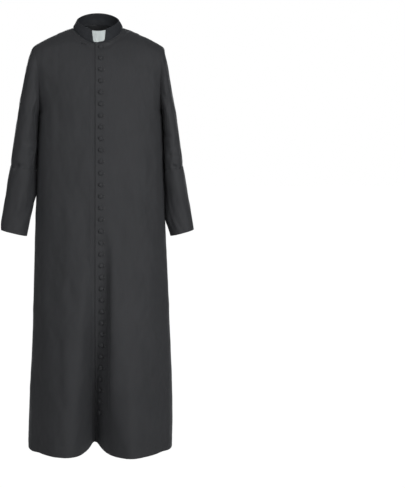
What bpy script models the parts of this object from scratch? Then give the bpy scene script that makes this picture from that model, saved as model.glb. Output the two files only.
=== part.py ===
"""A full-length cassock, worn open and hollow, in metres with +Z up.

The front faces -Y and the wearer's left is +X. The origin lies between the shoulders at the
level of the side neck, where a wearer carries the garment. Each cut piece is a cloth wall lofted
through rows that run from the centre of the body to the side seam or the armhole.
"""
import math
from collections import namedtuple

import bpy
from mathutils import Vector

# Cloth and seams
CLOTH = 0.002
SEAM_GAP = 0.0003
ARMHOLE_GAP = 0.0005
UNDERARM_EASE = 0.0012
LAP_GAP = 0.0008

# Heights
HEM_Z = -1.440
UNDERARM_Z = -0.300
SHOULDER_TIP_Z = -0.067

# Centre front closure: the wearer's left front laps over the right one
LAP = 0.0175
LAP_FADE_END = 0.070

# Shoulders and armholes
SHOULDER_HALF = 0.225
SHOULDER_SWAY = -0.007
UNDERARM_HALF = 0.2135
ARMHOLE_HALF_DEPTH = 0.073
ARMHOLE_INDENT = 0.013
SHOULDER_SLOPE = 0.47

# Neckline and stand collar
NECK_X = -0.009
NECK_HALF = 0.086
NECK_FRONT_Y = 0.088
NECK_BACK_Y = 0.066
NECK_FRONT_Z = -0.062
NECK_BACK_Z = 0.017
COLLAR_TOP_HALF = 0.073
COLLAR_TOP_FRONT_Y = 0.082
COLLAR_TOP_BACK_Y = 0.053
COLLAR_TOP_FRONT_Z = -0.0165
COLLAR_TOP_SIDE_Z = 0.026
COLLAR_TOP_BACK_Z = 0.057
COLLAR_SLIT = 0.0003

# Plastic tab in the window of the collar
TAB_X = -0.006
WINDOW_HALF_TOP = 0.026
WINDOW_HALF_BOTTOM = 0.0195
WINDOW_CORNER = 0.006
WINDOW_BOTTOM = 0.10
WINDOW_CURVE = 0.12
WINDOW_EDGE = 0.00001
TAB_HALF = 0.032
TAB_BOTTOM = 0.07
TAB_TOP = 0.95
TAB_GAP = 0.0006
TAB_THICKNESS = 0.001

# Buttons
BUTTON_COUNT = 33
BUTTON_FIRST_Z = -0.074
BUTTON_PITCH = 0.0385
BUTTON_SEAT = 0.0004
BUTTON_RADIUS = 0.0078
BUTTON_FOOT = 0.0066
BUTTON_HEIGHT = 0.0060
BUTTON_SIDES = 8

# Rows and columns of the lofts
SKIRT_ROWS = 13
ARM_ROWS = 12
FRONT_CENTRE_ROWS = 7
BACK_CENTRE_ROWS = 8
FRONT_COLUMNS = 13
BACK_COLUMNS = 12
LAP_CENTRE_COLUMN = 2

FRONT, BACK = -1, 1
LEFT, RIGHT = 1, -1

# Plan sections of the body. right and left are half-widths, front and back are depths from the
# side seams, and the powers say how square the section is: 2 is an ellipse.
Level = namedtuple("Level", "z right left front back front_power back_power")
LEVELS = [
    Level(-1.440, 0.2490, 0.2475, 0.205, 0.172, 2.0, 3.4),
    Level(-1.350, 0.2480, 0.2495, 0.199, 0.168, 2.0, 3.3),
    Level(-1.210, 0.2420, 0.2470, 0.189, 0.161, 2.0, 3.1),
    Level(-1.070, 0.2350, 0.2410, 0.177, 0.153, 2.1, 3.0),
    Level(-0.930, 0.2310, 0.2350, 0.165, 0.144, 2.1, 2.8),
    Level(-0.800, 0.2280, 0.2290, 0.154, 0.136, 2.2, 2.7),
    Level(-0.660, 0.2240, 0.2225, 0.145, 0.128, 2.2, 2.6),
    Level(-0.500, 0.2185, 0.2185, 0.136, 0.120, 2.3, 2.4),
    Level(-0.400, 0.2155, 0.2155, 0.132, 0.117, 2.3, 2.3),
    Level(-0.300, 0.2135, 0.2135, 0.130, 0.116, 2.3, 2.3),
    Level(-0.200, 0.2135, 0.2135, 0.126, 0.117, 2.2, 2.2),
    Level(-0.120, 0.2135, 0.2135, 0.111, 0.112, 2.1, 2.1),
    Level(-0.062, 0.2135, 0.2135, 0.088, 0.099, 2.0, 2.0),
    Level(-0.020, 0.2135, 0.2135, 0.070, 0.084, 2.0, 2.0),
    Level(0.0170, 0.2135, 0.2135, 0.060, 0.066, 2.0, 2.0),
]

# Folds of the hanging skirt. Each one starts at top_z, is centred on top_x there and on hem_x at
# the hem, and sinks by depth at the hem; a negative depth is a ridge. right_reach and left_reach
# are its half-widths at the hem, power says how steep its walls are towards the middle, growth how
# late it deepens, and rise lifts the hem in a notch where the fold is deepest.
Fold = namedtuple("Fold",
                  "face top_z top_x hem_x depth right_reach left_reach power growth rise")
FOLDS = [
    Fold(FRONT, -0.760, -0.0175, -0.0175, 0.155, 0.125, 0.150, 3.0, 1.15, 0.024),
    Fold(FRONT, -0.800, 0.100, 0.105, -0.014, 0.080, 0.080, 2.0, 1.0, 0.0),
    Fold(FRONT, -0.930, -0.200, -0.200, 0.007, 0.030, 0.035, 2.0, 0.8, 0.0),
    Fold(FRONT, -1.020, 0.196, 0.204, 0.006, 0.030, 0.024, 2.0, 0.8, 0.0),
    Fold(BACK, -0.640, 0.0, 0.0, 0.135, 0.080, 0.080, 2.0, 1.2, 0.020),
    Fold(BACK, -0.900, 0.178, 0.190, 0.010, 0.035, 0.030, 2.0, 0.7, 0.0),
    Fold(BACK, -1.000, -0.170, -0.182, 0.008, 0.032, 0.036, 2.0, 0.7, 0.0),
]
FOLD_FLAT = 0.003
FOLD_ROUND = 0.012
HEM_NOTCH = 4

# Sleeve stations, from the armhole down to the wrist: heights of the outer and inner edges of the
# tube, its half-depth front to back, and how far it has swung forward.
Station = namedtuple("Station", "outer_z inner_z half_depth forward")
STATIONS = [
    Station(-0.067, -0.300, 0.0730, 0.000),
    Station(-0.076, -0.304, 0.0765, 0.000),
    Station(-0.100, -0.313, 0.0780, 0.000),
    Station(-0.142, -0.330, 0.0780, 0.000),
    Station(-0.195, -0.352, 0.0770, 0.001),
    Station(-0.255, -0.380, 0.0750, 0.003),
    Station(-0.320, -0.412, 0.0720, 0.006),
    Station(-0.385, -0.444, 0.0680, 0.009),
    Station(-0.440, -0.470, 0.0650, 0.011),
    Station(-0.474, -0.488, 0.0625, 0.013),
    Station(-0.530, -0.545, 0.0575, 0.015),
    Station(-0.585, -0.603, 0.0530, 0.018),
    Station(-0.640, -0.658, 0.0490, 0.020),
    Station(-0.690, -0.711, 0.0465, 0.022),
]
CUFF_FIRST_STATION = 9

# Distance of the sleeves' outer and inner edges from the middle of the body, by height, measured
# on the outside of the cuff where it covers the sleeve.
Edge = namedtuple("Edge", "z right_outer left_outer right_inner left_inner")
EDGES = [
    Edge(-0.711, 0.3420, 0.3220, 0.2520, 0.2400),
    Edge(-0.661, 0.3395, 0.3160, 0.2420, 0.2262),
    Edge(-0.592, 0.3280, 0.3035, 0.2270, 0.2235),
    Edge(-0.523, 0.3170, 0.2920, 0.2218, 0.2212),
    Edge(-0.454, 0.3060, 0.2810, 0.2194, 0.2192),
    Edge(-0.385, 0.2960, 0.2720, 0.2176, 0.2176),
    Edge(-0.316, 0.2860, 0.2625, 0.2160, 0.2160),
    Edge(-0.247, 0.2755, 0.2510, 0.2135, 0.2135),
    Edge(-0.178, 0.2620, 0.2390, 0.2135, 0.2135),
    Edge(-0.109, 0.2480, 0.2270, 0.2135, 0.2135),
    Edge(-0.067, 0.2320, 0.2180, 0.2135, 0.2135),
]


def clear_scene():
    """Start from an empty file."""
    for old in list(bpy.data.objects):
        bpy.data.objects.remove(old, do_unlink=True)


def smooth_value(table, z, column):
    """Value of a table's column at height z, on a smooth curve through its rows."""
    rows = sorted(table, key=lambda row: row.z)
    if z <= rows[0].z:
        return getattr(rows[0], column)
    if z >= rows[-1].z:
        return getattr(rows[-1], column)
    i = max(n for n in range(len(rows) - 1) if rows[n].z <= z)
    low, high = rows[i], rows[i + 1]
    before, after = rows[max(i - 1, 0)], rows[min(i + 2, len(rows) - 1)]
    span = high.z - low.z
    start, end = getattr(low, column), getattr(high, column)
    slope_start = (end - getattr(before, column)) / (high.z - before.z) * span
    slope_end = (getattr(after, column) - start) / (after.z - low.z) * span
    t = (z - low.z) / span
    return ((2 * t**3 - 3 * t**2 + 1) * start + (t**3 - 2 * t**2 + t) * slope_start
            + (3 * t**2 - 2 * t**3) * end + (t**3 - t**2) * slope_end)


def mix(start, end, t):
    return start + (end - start) * t


def smoothstep(low, high, value):
    t = min(max((value - low) / (high - low), 0.0), 1.0)
    return t * t * (3 - 2 * t)


def lap_lift(x):
    """How far the overlapping front stands off at a distance x from centre front."""
    return (CLOTH + LAP_GAP) * (1 - smoothstep(LAP + 0.004, LAP_FADE_END, x))


def fold_share(fold, x, z):
    """Share of a fold's depth, from 0 to 1, at a point of the body."""
    run = (fold.top_z - z) / (fold.top_z - HEM_Z)
    if run <= 0:
        return 0.0
    centre = mix(fold.top_x, fold.hem_x, run)
    hem_reach = fold.left_reach if x > centre else fold.right_reach
    reach = hem_reach * mix(0.55, 1.0, run)
    off = max(abs(x - centre) - FOLD_FLAT, 0.0)
    off = math.hypot(off, FOLD_ROUND) - FOLD_ROUND
    if off >= reach:
        return 0.0
    return run**fold.growth * (1 - off / reach) ** fold.power


def fold_body_point(point, face):
    """Move a point of the front or back by the folds that pass through it."""
    x, y, z = point
    for fold in FOLDS:
        if fold.face == face:
            share = fold_share(fold, x, z)
            y -= face * fold.depth * share
            z += fold.rise * share**HEM_NOTCH
    return Vector((x, y, z))


def neck_point(side, turn):
    """Point of the neckline; turn is the angle from the front centre, 180 degrees at the back."""
    ahead = math.cos(turn)
    x = NECK_X + side * NECK_HALF * math.sin(turn)
    if ahead > 0:
        return Vector((x, -NECK_FRONT_Y * ahead, NECK_FRONT_Z * ahead**1.7))
    return Vector((x, -NECK_BACK_Y * ahead, NECK_BACK_Z * (-ahead) ** 1.5))


def armhole_point(face, side, rise):
    """Point of the armhole; rise runs from 0 at the underarm to 1 at the shoulder tip."""
    swell = 2 * math.sqrt(max(rise * (1 - rise), 0.0))
    x = mix(UNDERARM_HALF, SHOULDER_HALF, rise) - ARMHOLE_INDENT * swell
    tip_line = SHOULDER_TIP_Z + SHOULDER_SLOPE * (SHOULDER_HALF - x)
    z = mix(UNDERARM_Z, tip_line, rise)
    return Vector((side * x + SHOULDER_SWAY * rise, face * ARMHOLE_HALF_DEPTH * swell**0.9, z))


# One row of a panel. cut is the cosine of the arc's end angle: 0 is a full quarter section.
Row = namedtuple("Row", "inner outer cut power bow centred")


def skirt_row(face, side, z):
    half = smooth_value(LEVELS, z, "left" if side == LEFT else "right")
    depth = smooth_value(LEVELS, z, "front" if face == FRONT else "back")
    power = smooth_value(LEVELS, z, "front_power" if face == FRONT else "back_power")
    return Row(Vector((0, face * depth, z)), Vector((side * half, 0, z)), 0.0, power, 2.0, True)


def chest_row(face, side, step, steps):
    """Row above the underarm; step counts up to the shoulder seam."""
    rise = (1 - math.cos(math.pi * step / steps)) / 2
    outer = armhole_point(face, side, rise)
    share = FRONT_CENTRE_ROWS if face == FRONT else BACK_CENTRE_ROWS
    centre_steps = steps * share / ARM_ROWS
    neck_z = NECK_FRONT_Z if face == FRONT else NECK_BACK_Z
    if step <= centre_steps:
        z = mix(UNDERARM_Z, neck_z, step / centre_steps)
        column = "front" if face == FRONT else "back"
        depth = smooth_value(LEVELS, z, column)
        power = smooth_value(LEVELS, z, column + "_power")
        cut = min(abs(outer.y) / depth, 0.62)
        return Row(Vector((0, face * depth, z)), outer, cut, power, 2.0, True)
    climb = (step - centre_steps) / (steps - centre_steps)
    turn = mix(first_neck_turn(face, side), math.pi / 2, climb)
    inner = neck_point(side, turn)
    return Row(inner, outer, 0.62, 2.0, mix(2.0, 1.0, climb), False)


def first_neck_turn(face, side):
    """Angle of the neckline where it meets the front edge or the centre back seam."""
    if face == FRONT:
        return math.asin((-LAP - side * NECK_X) / NECK_HALF)
    return math.pi - math.asin(-side * NECK_X / NECK_HALF)


def row_point(row, s):
    """Point at share s of a row, before the folds; s is below 0 past the centre line."""
    arc = math.acos(row.cut)
    bend = 2 / row.power
    turn = abs(s) * arc
    sideways = (math.sin(turn) / math.sin(arc)) ** bend
    across = math.copysign(sideways, s)
    ahead = max((math.cos(turn) - row.cut) / (1 - row.cut), 0.0) ** bend
    x = mix(row.inner.x, row.outer.x, across)
    y = mix(row.outer.y, row.inner.y, ahead)
    z = mix(row.inner.z, row.outer.z, abs(s) ** row.bow)
    return Vector((x, y, z))


def share_at(row, side, x):
    """Share s at which a centred row passes the distance x from centre front."""
    arc = math.acos(row.cut)
    across = abs(x) / (side * row.outer.x)
    return math.copysign(math.asin(across ** (row.power / 2) * math.sin(arc)) / arc, x)


def column_shares(row, face, side, columns):
    """Shares s of a row's columns; the lap has columns of its own, alike on both fronts."""
    if face == BACK:
        return [(j / columns) ** 1.15 for j in range(columns + 1)]
    lap = [-LAP, -LAP / 2, 0.0, LAP / 2, LAP]
    if row.centred:
        first = [share_at(row, side, x) for x in lap]
    else:
        first = [0.14 * n / (len(lap) - 1) for n in range(len(lap))]
    rest = [mix(first[-1], 1.0, (j / columns) ** 1.1) for j in range(1, columns + 1)]
    return first + rest


def body_grid(face, side, skirt_rows, arm_rows, columns):
    """Rows of points of a front or back panel, from the hem up, centre to side."""
    rows = [skirt_row(face, side, mix(HEM_Z, UNDERARM_Z, n / skirt_rows)) for n in range(skirt_rows)]
    rows += [chest_row(face, side, n, arm_rows) for n in range(arm_rows + 1)]
    grid = []
    for row in rows:
        shares = column_shares(row, face, side, columns)
        grid.append([fold_body_point(row_point(row, s), face) for s in shares])
    return grid


def sleeve_grid(side, arm_rows):
    """Loops of points of a sleeve, from the armhole to the wrist. Each loop runs from the
    underarm over the front to the outer edge, and back behind to the underarm."""
    name = "left" if side == LEFT else "right"
    grid = []
    for n, station in enumerate(STATIONS):
        covered = (CLOTH + SEAM_GAP) if n >= CUFF_FIRST_STATION else 0.0
        outer_x = smooth_value(EDGES, station.outer_z, name + "_outer") - covered
        inner_x = smooth_value(EDGES, station.inner_z, name + "_inner") + covered
        loop = []
        for j in range(2 * arm_rows):
            turn = math.pi * j / arm_rows
            rise = (1 - math.cos(turn)) / 2
            if n == 0:
                loop.append(armhole_point(FRONT if j <= arm_rows else BACK, side, rise))
                continue
            x = side * mix(inner_x, outer_x, rise)
            swell = math.copysign(abs(math.sin(turn)) ** 0.9, math.sin(turn))
            indent = side * ARMHOLE_INDENT * abs(swell) * max(1 - n / 3, 0.0)
            y = -(station.half_depth - covered) * swell - station.forward
            loop.append(Vector((x - indent, y, mix(station.inner_z, station.outer_z, rise))))
        grid.append(loop)
    return grid


def grid_normals(grid, closed, outward):
    """Unit normals of a grid of points, turned to the side that outward gives."""
    count = len(grid[0])
    normals = []
    for i, row in enumerate(grid):
        above, below = grid[min(i + 1, len(grid) - 1)], grid[max(i - 1, 0)]
        line = []
        for j in range(count):
            after = (j + 1) % count if closed else min(j + 1, count - 1)
            before = (j - 1) % count if closed else max(j - 1, 0)
            normal = (row[after] - row[before]).cross(above[j] - below[j])
            line.append(normal.normalized() * outward)
        normals.append(line)
    return normals


def new_object(name, verts, faces, material, collection):
    mesh = bpy.data.meshes.new(name)
    mesh.from_pydata([tuple(v) for v in verts], [], faces)
    mesh.materials.append(material)
    mesh.shade_smooth()
    obj = bpy.data.objects.new(name, mesh)
    collection.objects.link(obj)
    return obj


def grid_faces(rows, columns, closed, mirrored):
    """Triangles between the rows of a grid, as corner numbers. Every quad is cut on the same
    diagonal, and a mirrored grid on the other one, so that cloth that lies on cloth is parallel."""
    faces = []
    for i in range(rows - 1):
        for j in range(columns if closed else columns - 1):
            low, low_next = i * columns + j, i * columns + (j + 1) % columns
            high, high_next = low + columns, low_next + columns
            if mirrored:
                faces += [(low, low_next, high), (low_next, high_next, high)]
            else:
                faces += [(low, low_next, high_next), (low, high_next, high)]
    return faces


def cloth_wall(name, outer, normals, closed, outward, material, collection,
               mirrored=False, thickness=CLOTH):
    """A closed wall of cloth between a grid of outer points and the same grid moved inwards."""
    rows, columns = len(outer), len(outer[0])
    skin = [p for row in outer for p in row]
    inner = [p - n * thickness for row, line in zip(outer, normals) for p, n in zip(row, line)]
    total = len(skin)
    faces = grid_faces(rows, columns, closed, mirrored)
    faces = faces + [tuple(total + corner for corner in reversed(face)) for face in faces]
    rim = [[(i, j) for j in range(columns)] for i in (0, rows - 1)]
    edges = [(rim[0], 1), (rim[1], -1)]
    if closed:
        edges = [(line + line[:1], way) for line, way in edges]
    else:
        edges += [([(i, 0) for i in range(rows)], -1), ([(i, columns - 1) for i in range(rows)], 1)]
    for line, way in edges:
        for start, end in zip(line, line[1:]):
            a, b = start[0] * columns + start[1], end[0] * columns + end[1]
            face = (b, a, total + a, total + b)
            faces.append(face if way == 1 else tuple(reversed(face)))
    if outward < 0:
        faces = [tuple(reversed(face)) for face in faces]
    return new_object(name, skin + inner, faces, material, collection)


def flatten_normals(normals, axis):
    """Take one axis out of a line of normals, so that a wall keeps to its side of a seam."""
    for normal in normals:
        normal[axis] = 0.0
        normal.normalize()


def close_body_seams(grid, normals, face, side):
    """Set the side, shoulder and centre back seams on their planes, half a gap apart."""
    edge = [row[-1] for row in grid[:-ARM_ROWS]]
    flatten_normals([line[-1] for line in normals[:-ARM_ROWS]], 1)
    flatten_normals(normals[-1], 1)
    for point in edge + grid[-1]:
        point.y += face * SEAM_GAP / 2
    if face == BACK:
        flatten_normals([line[0] for line in normals[:-ARM_ROWS + BACK_CENTRE_ROWS]], 0)
        for row in grid[:-ARM_ROWS + BACK_CENTRE_ROWS]:
            row[0].x += side * SEAM_GAP / 2


def share_armhole(bodies, sleeve, side):
    """Give the body and the sleeve the same normals along the armhole, and part them."""
    grid, normals = sleeve
    for j in range(2 * ARM_ROWS):
        face = FRONT if j <= ARM_ROWS else BACK
        up = j if j <= ARM_ROWS else 2 * ARM_ROWS - j
        partners = [(face, up)]
        if up in (0, ARM_ROWS):
            partners = [(FRONT, up), (BACK, up)]
        total = normals[0][j].copy()
        for partner, row in partners:
            body_normals = bodies[partner, side][1]
            total += body_normals[row - ARM_ROWS - 1][-1] / len(partners)
        if up in (0, ARM_ROWS):
            total.y = 0.0
        total.normalize()
        normals[0][j] = total
        for partner, row in partners:
            bodies[partner, side][1][row - ARM_ROWS - 1][-1] = total.copy()
            part_from_armhole(bodies[partner, side][0], row)
    for j, point in enumerate(grid[0]):
        from_underarm = min(j, 2 * ARM_ROWS - j)
        ease = UNDERARM_EASE * max(1 - from_underarm / 3, 0.0)
        point += (grid[1][j] - point).normalized() * (ARMHOLE_GAP / 2 + ease)


def part_from_armhole(grid, row):
    """Draw a body panel back from the armhole, down the side seam at the underarm itself."""
    point = grid[row - ARM_ROWS - 1][-1]
    towards = grid[row - ARM_ROWS - 1][-2] if row else grid[-ARM_ROWS - 2][-1]
    point += (towards - point).normalized() * ARMHOLE_GAP / 2


def neckline_path(bodies):
    """Corners of the neckline as (turn, point) all the way round, from the lap over the wearer's
    left shoulder, the back and the right shoulder."""
    path = []
    for side in (LEFT, RIGHT):
        for face, centre_rows in ((FRONT, FRONT_CENTRE_ROWS), (BACK, BACK_CENTRE_ROWS)):
            first = centre_rows + (1 if (side, face) == (RIGHT, BACK) else 0)
            for row in range(first, ARM_ROWS + (1 if face == FRONT else 0)):
                climb = (row - centre_rows) / (ARM_ROWS - centre_rows)
                turn = mix(first_neck_turn(face, side), math.pi / 2, climb)
                point = bodies[face, side][0][row - ARM_ROWS - 1][0].copy()
                if face == FRONT:
                    point.z += lap_lift(abs(point.x))
                path.append((turn if side == LEFT else 2 * math.pi - turn, point))
    path.sort(key=lambda knot: knot[0])
    return path


def foot_point(path, turn):
    """Foot of the collar at an angle, a seam gap above the neckline."""
    i = max([n for n in range(len(path) - 1) if path[n][0] <= turn], default=0)
    (start, low), (end, high) = path[i], path[i + 1]
    share = (turn - start) / (end - start) if end > start else 0.0
    return low.lerp(high, share) + Vector((0, 0, SEAM_GAP))


def collar_point(path, turn, climb):
    """Point of the collar band; turn goes round from the front, climb from the seam to the top."""
    ahead = math.cos(turn)
    x = NECK_X + COLLAR_TOP_HALF * math.sin(turn)
    if ahead > 0:
        top_z = mix(COLLAR_TOP_SIDE_Z, COLLAR_TOP_FRONT_Z, ahead**1.5)
        top = Vector((x, -COLLAR_TOP_FRONT_Y * ahead, top_z))
    else:
        top_z = mix(COLLAR_TOP_SIDE_Z, COLLAR_TOP_BACK_Z, (-ahead) ** 1.2)
        top = Vector((x, -COLLAR_TOP_BACK_Y * ahead, top_z))
    return foot_point(path, turn).lerp(top, climb)


def collar_turn(x):
    """Angle at which the front of the collar passes a distance x from the middle of the body."""
    return math.asin((x - NECK_X) / ((COLLAR_TOP_HALF + NECK_HALF) / 2))


def window_height(turn):
    """Height share that the collar keeps, low where the window for the tab is open."""
    off = abs(NECK_X + (COLLAR_TOP_HALF + NECK_HALF) / 2 * math.sin(turn) - TAB_X)
    if math.cos(turn) < 0 or off >= WINDOW_HALF_TOP - WINDOW_EDGE:
        return 1.0
    inset = max(off - (WINDOW_HALF_BOTTOM - WINDOW_CORNER), 0.0) / WINDOW_CORNER
    if inset <= 1:
        return WINDOW_BOTTOM + WINDOW_CURVE * inset**2
    side_run = (off - WINDOW_HALF_BOTTOM) / (WINDOW_HALF_TOP - WINDOW_HALF_BOTTOM)
    return mix(WINDOW_BOTTOM + WINDOW_CURVE, 1.0, side_run)


def collar_turns(path):
    """Angles of the collar's columns: the neckline's corners, points between, and the window."""
    slit = path[0][0]
    half_gap = COLLAR_SLIT / NECK_HALF
    window = [collar_turn(TAB_X + way * off) for way in (-1, 1) for off in
              (WINDOW_HALF_TOP, WINDOW_HALF_BOTTOM, WINDOW_HALF_BOTTOM - WINDOW_CORNER, 0.005)]
    window = [turn if turn > slit else turn + 2 * math.pi for turn in window]
    start = max(turn for turn in window if turn < math.pi)
    end = min(turn for turn in window if turn > math.pi)
    knots = [start] + [turn for turn, point in path if start < turn < end] + [end]
    between = [(low + high) / 2 for low, high in zip(knots, knots[1:])]
    ends = [slit + half_gap, slit + 2 * math.pi - half_gap]
    return sorted(window + knots[1:-1] + between + ends)


def build_collar(path, material, collection):
    """A stand collar in one band, its ends meeting at the lap under the tab."""
    turns = collar_turns(path)
    climbs = (0.0, 0.35, 0.7, 1.0)
    grid = [[collar_point(path, turn, climb * window_height(turn)) for turn in turns]
            for climb in climbs]
    plain = [[collar_point(path, turn, climb) for turn in turns] for climb in climbs]
    normals = grid_normals(plain, False, 1)
    return cloth_wall("collar", grid, normals, False, 1, material, collection)


def build_tab(path, material, collection):
    """A bowed plastic strip behind the window, its ends tucked inside the band."""
    turns = [collar_turn(TAB_X + TAB_HALF * n / 4) for n in range(-4, 5)]
    slit = path[0][0]
    turns = [turn if turn > slit else turn + 2 * math.pi for turn in turns]
    grid = [[collar_point(path, turn, climb) for turn in turns] for climb in (TAB_BOTTOM, 0.5, TAB_TOP)]
    normals = grid_normals(grid, False, 1)
    behind = CLOTH + TAB_GAP
    grid = [[p - n * behind for p, n in zip(row, line)] for row, line in zip(grid, normals)]
    return cloth_wall("collar_tab", grid, normals, False, 1, material, collection,
                      thickness=TAB_THICKNESS)


def button_mesh(material):
    """A small domed button covered in the cloth, turned from its profile."""
    profile = [(0.0, BUTTON_HEIGHT), (BUTTON_RADIUS * 0.58, BUTTON_HEIGHT * 0.85),
               (BUTTON_RADIUS, BUTTON_HEIGHT * 0.43), (BUTTON_FOOT, 0.0), (0.0, 0.0)]
    mesh = bpy.data.meshes.new("button_profile")
    mesh.from_pydata([(radius, 0, height) for radius, height in profile],
                     [(n, n + 1) for n in range(len(profile) - 1)], [])
    turned = bpy.data.objects.new("button_profile", mesh)
    bpy.context.scene.collection.objects.link(turned)
    screw = turned.modifiers.new("turn", "SCREW")
    screw.steps = BUTTON_SIDES
    screw.render_steps = BUTTON_SIDES
    screw.use_merge_vertices = True
    screw.merge_threshold = 0.0001
    bpy.context.view_layer.update()
    evaluated = turned.evaluated_get(bpy.context.evaluated_depsgraph_get())
    button = bpy.data.meshes.new_from_object(evaluated)
    button.name = "button"
    bpy.data.objects.remove(turned, do_unlink=True)
    button.materials.append(material)
    button.shade_smooth()
    return button


def button_seat(grid, z):
    """Seat and normal of a button on the left front's centre column, clear of the cloth that
    rises beside it."""
    column = LAP_CENTRE_COLUMN
    i = max(n for n in range(len(grid) - 1) if grid[n][column].z <= z)
    share = (z - grid[i][column].z) / (grid[i + 1][column].z - grid[i][column].z)
    before, point, after = [grid[i][n].lerp(grid[i + 1][n], share)
                            for n in (column - 1, column, column + 1)]
    upward = grid[i + 1][column] - grid[i][column]
    normal = (after - before).cross(upward).normalized()
    beside = max((after - point).dot(normal), (before - point).dot(normal), 0.0)
    beside *= BUTTON_FOOT / (LAP / 2)
    return point + normal * (beside + BUTTON_SEAT), normal


def build_buttons(grid, material, collection):
    mesh = button_mesh(material)
    for n in range(BUTTON_COUNT):
        point, normal = button_seat(grid, BUTTON_FIRST_Z - n * BUTTON_PITCH)
        button = bpy.data.objects.new(f"button_{n + 1:02d}", mesh)
        button.location = point
        button.rotation_euler = normal.to_track_quat("Z", "Y").to_euler()
        collection.objects.link(button)


def build_body_and_sleeves(cloth, collection):
    """Two fronts, two backs, two sleeves and their turned-back cuffs. Returns the path of the
    neckline and the grid of the lapping front."""
    side_names = {LEFT: "left", RIGHT: "right"}
    bodies = {}
    for side in (LEFT, RIGHT):
        for face, columns in ((FRONT, FRONT_COLUMNS), (BACK, BACK_COLUMNS)):
            grid = body_grid(face, side, SKIRT_ROWS, ARM_ROWS, columns)
            outward = -face * side
            bodies[face, side] = (grid, grid_normals(grid, False, outward))
        sleeve = sleeve_grid(side, ARM_ROWS)
        normals = grid_normals(sleeve, True, -side)
        for face in (FRONT, BACK):
            close_body_seams(*bodies[face, side], face, side)
        share_armhole(bodies, (sleeve, normals), side)
        name = side_names[side]
        cloth_wall(f"sleeve_{name}", sleeve, normals, True, -side, cloth, collection, side == RIGHT)
        build_cuff(f"cuff_{name}", sleeve, normals, side, cloth, collection)
    path = neckline_path(bodies)
    grid, normals = bodies[FRONT, LEFT]
    lapped = [[p + n * lap_lift(abs(p.x)) for p, n in zip(row, line)]
              for row, line in zip(grid, normals)]
    bodies[FRONT, LEFT] = (lapped, normals)
    for (face, side), (grid, normals) in bodies.items():
        name = ("front_" if face == FRONT else "back_") + side_names[side]
        cloth_wall(name, grid, normals, False, -face * side, cloth, collection, side == RIGHT)
    return path, lapped


def build_cuff(name, sleeve, normals, side, cloth, collection):
    """The cuff lies on the end of the sleeve, a wall and a seam gap further out."""
    out = CLOTH + SEAM_GAP
    grid = [[p + n * out for p, n in zip(row, line)]
            for row, line in zip(sleeve[CUFF_FIRST_STATION:], normals[CUFF_FIRST_STATION:])]
    cuff_normals = normals[CUFF_FIRST_STATION:]
    cloth_wall(name, grid, cuff_normals, True, -side, cloth, collection, side == RIGHT)


def make_material(name, colour, roughness, metallic=0.0):
    material = bpy.data.materials.new(name)
    material.use_nodes = True
    shader = material.node_tree.nodes["Principled BSDF"]
    shader.inputs["Base Color"].default_value = (*colour, 1.0)
    shader.inputs["Roughness"].default_value = roughness
    shader.inputs["Metallic"].default_value = metallic
    return material


def main():
    clear_scene()
    collection = bpy.data.collections.new("cassock")
    bpy.context.scene.collection.children.link(collection)
    cloth = make_material("black_suiting", (0.040, 0.042, 0.046), 0.85)
    covered = make_material("covered_button", (0.026, 0.027, 0.030), 0.75)
    plastic = make_material("white_plastic", (0.62, 0.66, 0.66), 0.35)
    path, lapped = build_body_and_sleeves(cloth, collection)
    build_collar(path, cloth, collection)
    build_tab(path, plastic, collection)
    build_buttons(lapped, covered, collection)


main()
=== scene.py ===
"""The cassock's looks: fine cloth shells on the solids' form, with folds, seams and stitches.

Metres, +Z up, the front faces -Y and the wearer's left is +X. The forms repeat the part's own
sections, sampled finely, and each piece then gets its folds from the tables below.
"""

import math
import random
from collections import namedtuple

import bpy
import numpy as np
from mathutils import Matrix, Vector


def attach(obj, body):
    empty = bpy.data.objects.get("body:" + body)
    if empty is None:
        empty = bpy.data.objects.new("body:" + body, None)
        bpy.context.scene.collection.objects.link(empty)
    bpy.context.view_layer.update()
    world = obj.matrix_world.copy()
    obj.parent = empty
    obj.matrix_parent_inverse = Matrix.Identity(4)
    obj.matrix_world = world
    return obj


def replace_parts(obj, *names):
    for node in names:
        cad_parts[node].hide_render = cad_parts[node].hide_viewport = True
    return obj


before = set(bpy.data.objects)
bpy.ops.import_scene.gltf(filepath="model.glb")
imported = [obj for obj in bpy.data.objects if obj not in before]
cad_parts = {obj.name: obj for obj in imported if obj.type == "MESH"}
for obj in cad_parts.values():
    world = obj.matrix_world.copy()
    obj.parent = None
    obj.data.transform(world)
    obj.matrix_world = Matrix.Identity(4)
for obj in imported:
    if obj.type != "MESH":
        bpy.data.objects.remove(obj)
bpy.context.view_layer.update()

FRONT, BACK = -1, 1
LEFT, RIGHT = 1, -1
FACE_NAMES = {FRONT: "front", BACK: "back"}
SIDE_NAMES = {LEFT: "left", RIGHT: "right"}

# Cloth, seams and closure, as in the solids
CLOTH = 0.002
SEAM_GAP = 0.0003
ARMHOLE_GAP = 0.0005
UNDERARM_EASE = 0.0012
LAP_GAP = 0.0008
HEM_Z = -1.440
UNDERARM_Z = -0.300
SHOULDER_TIP_Z = -0.067
LAP = 0.0175
LAP_FADE_END = 0.070
SHOULDER_HALF = 0.225
SHOULDER_SWAY = -0.007
UNDERARM_HALF = 0.2135
ARMHOLE_HALF_DEPTH = 0.073
ARMHOLE_INDENT = 0.013
SHOULDER_SLOPE = 0.47
NECK_X = -0.009
NECK_HALF = 0.086
NECK_FRONT_Y = 0.088
NECK_BACK_Y = 0.066
NECK_Z = {FRONT: -0.062, BACK: 0.017}
COLLAR_TOP_HALF = 0.073
COLLAR_TOP_FRONT_Y = 0.082
COLLAR_TOP_BACK_Y = 0.053
COLLAR_TOP_FRONT_Z = -0.0165
COLLAR_TOP_SIDE_Z = 0.026
COLLAR_TOP_BACK_Z = 0.057
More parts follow.
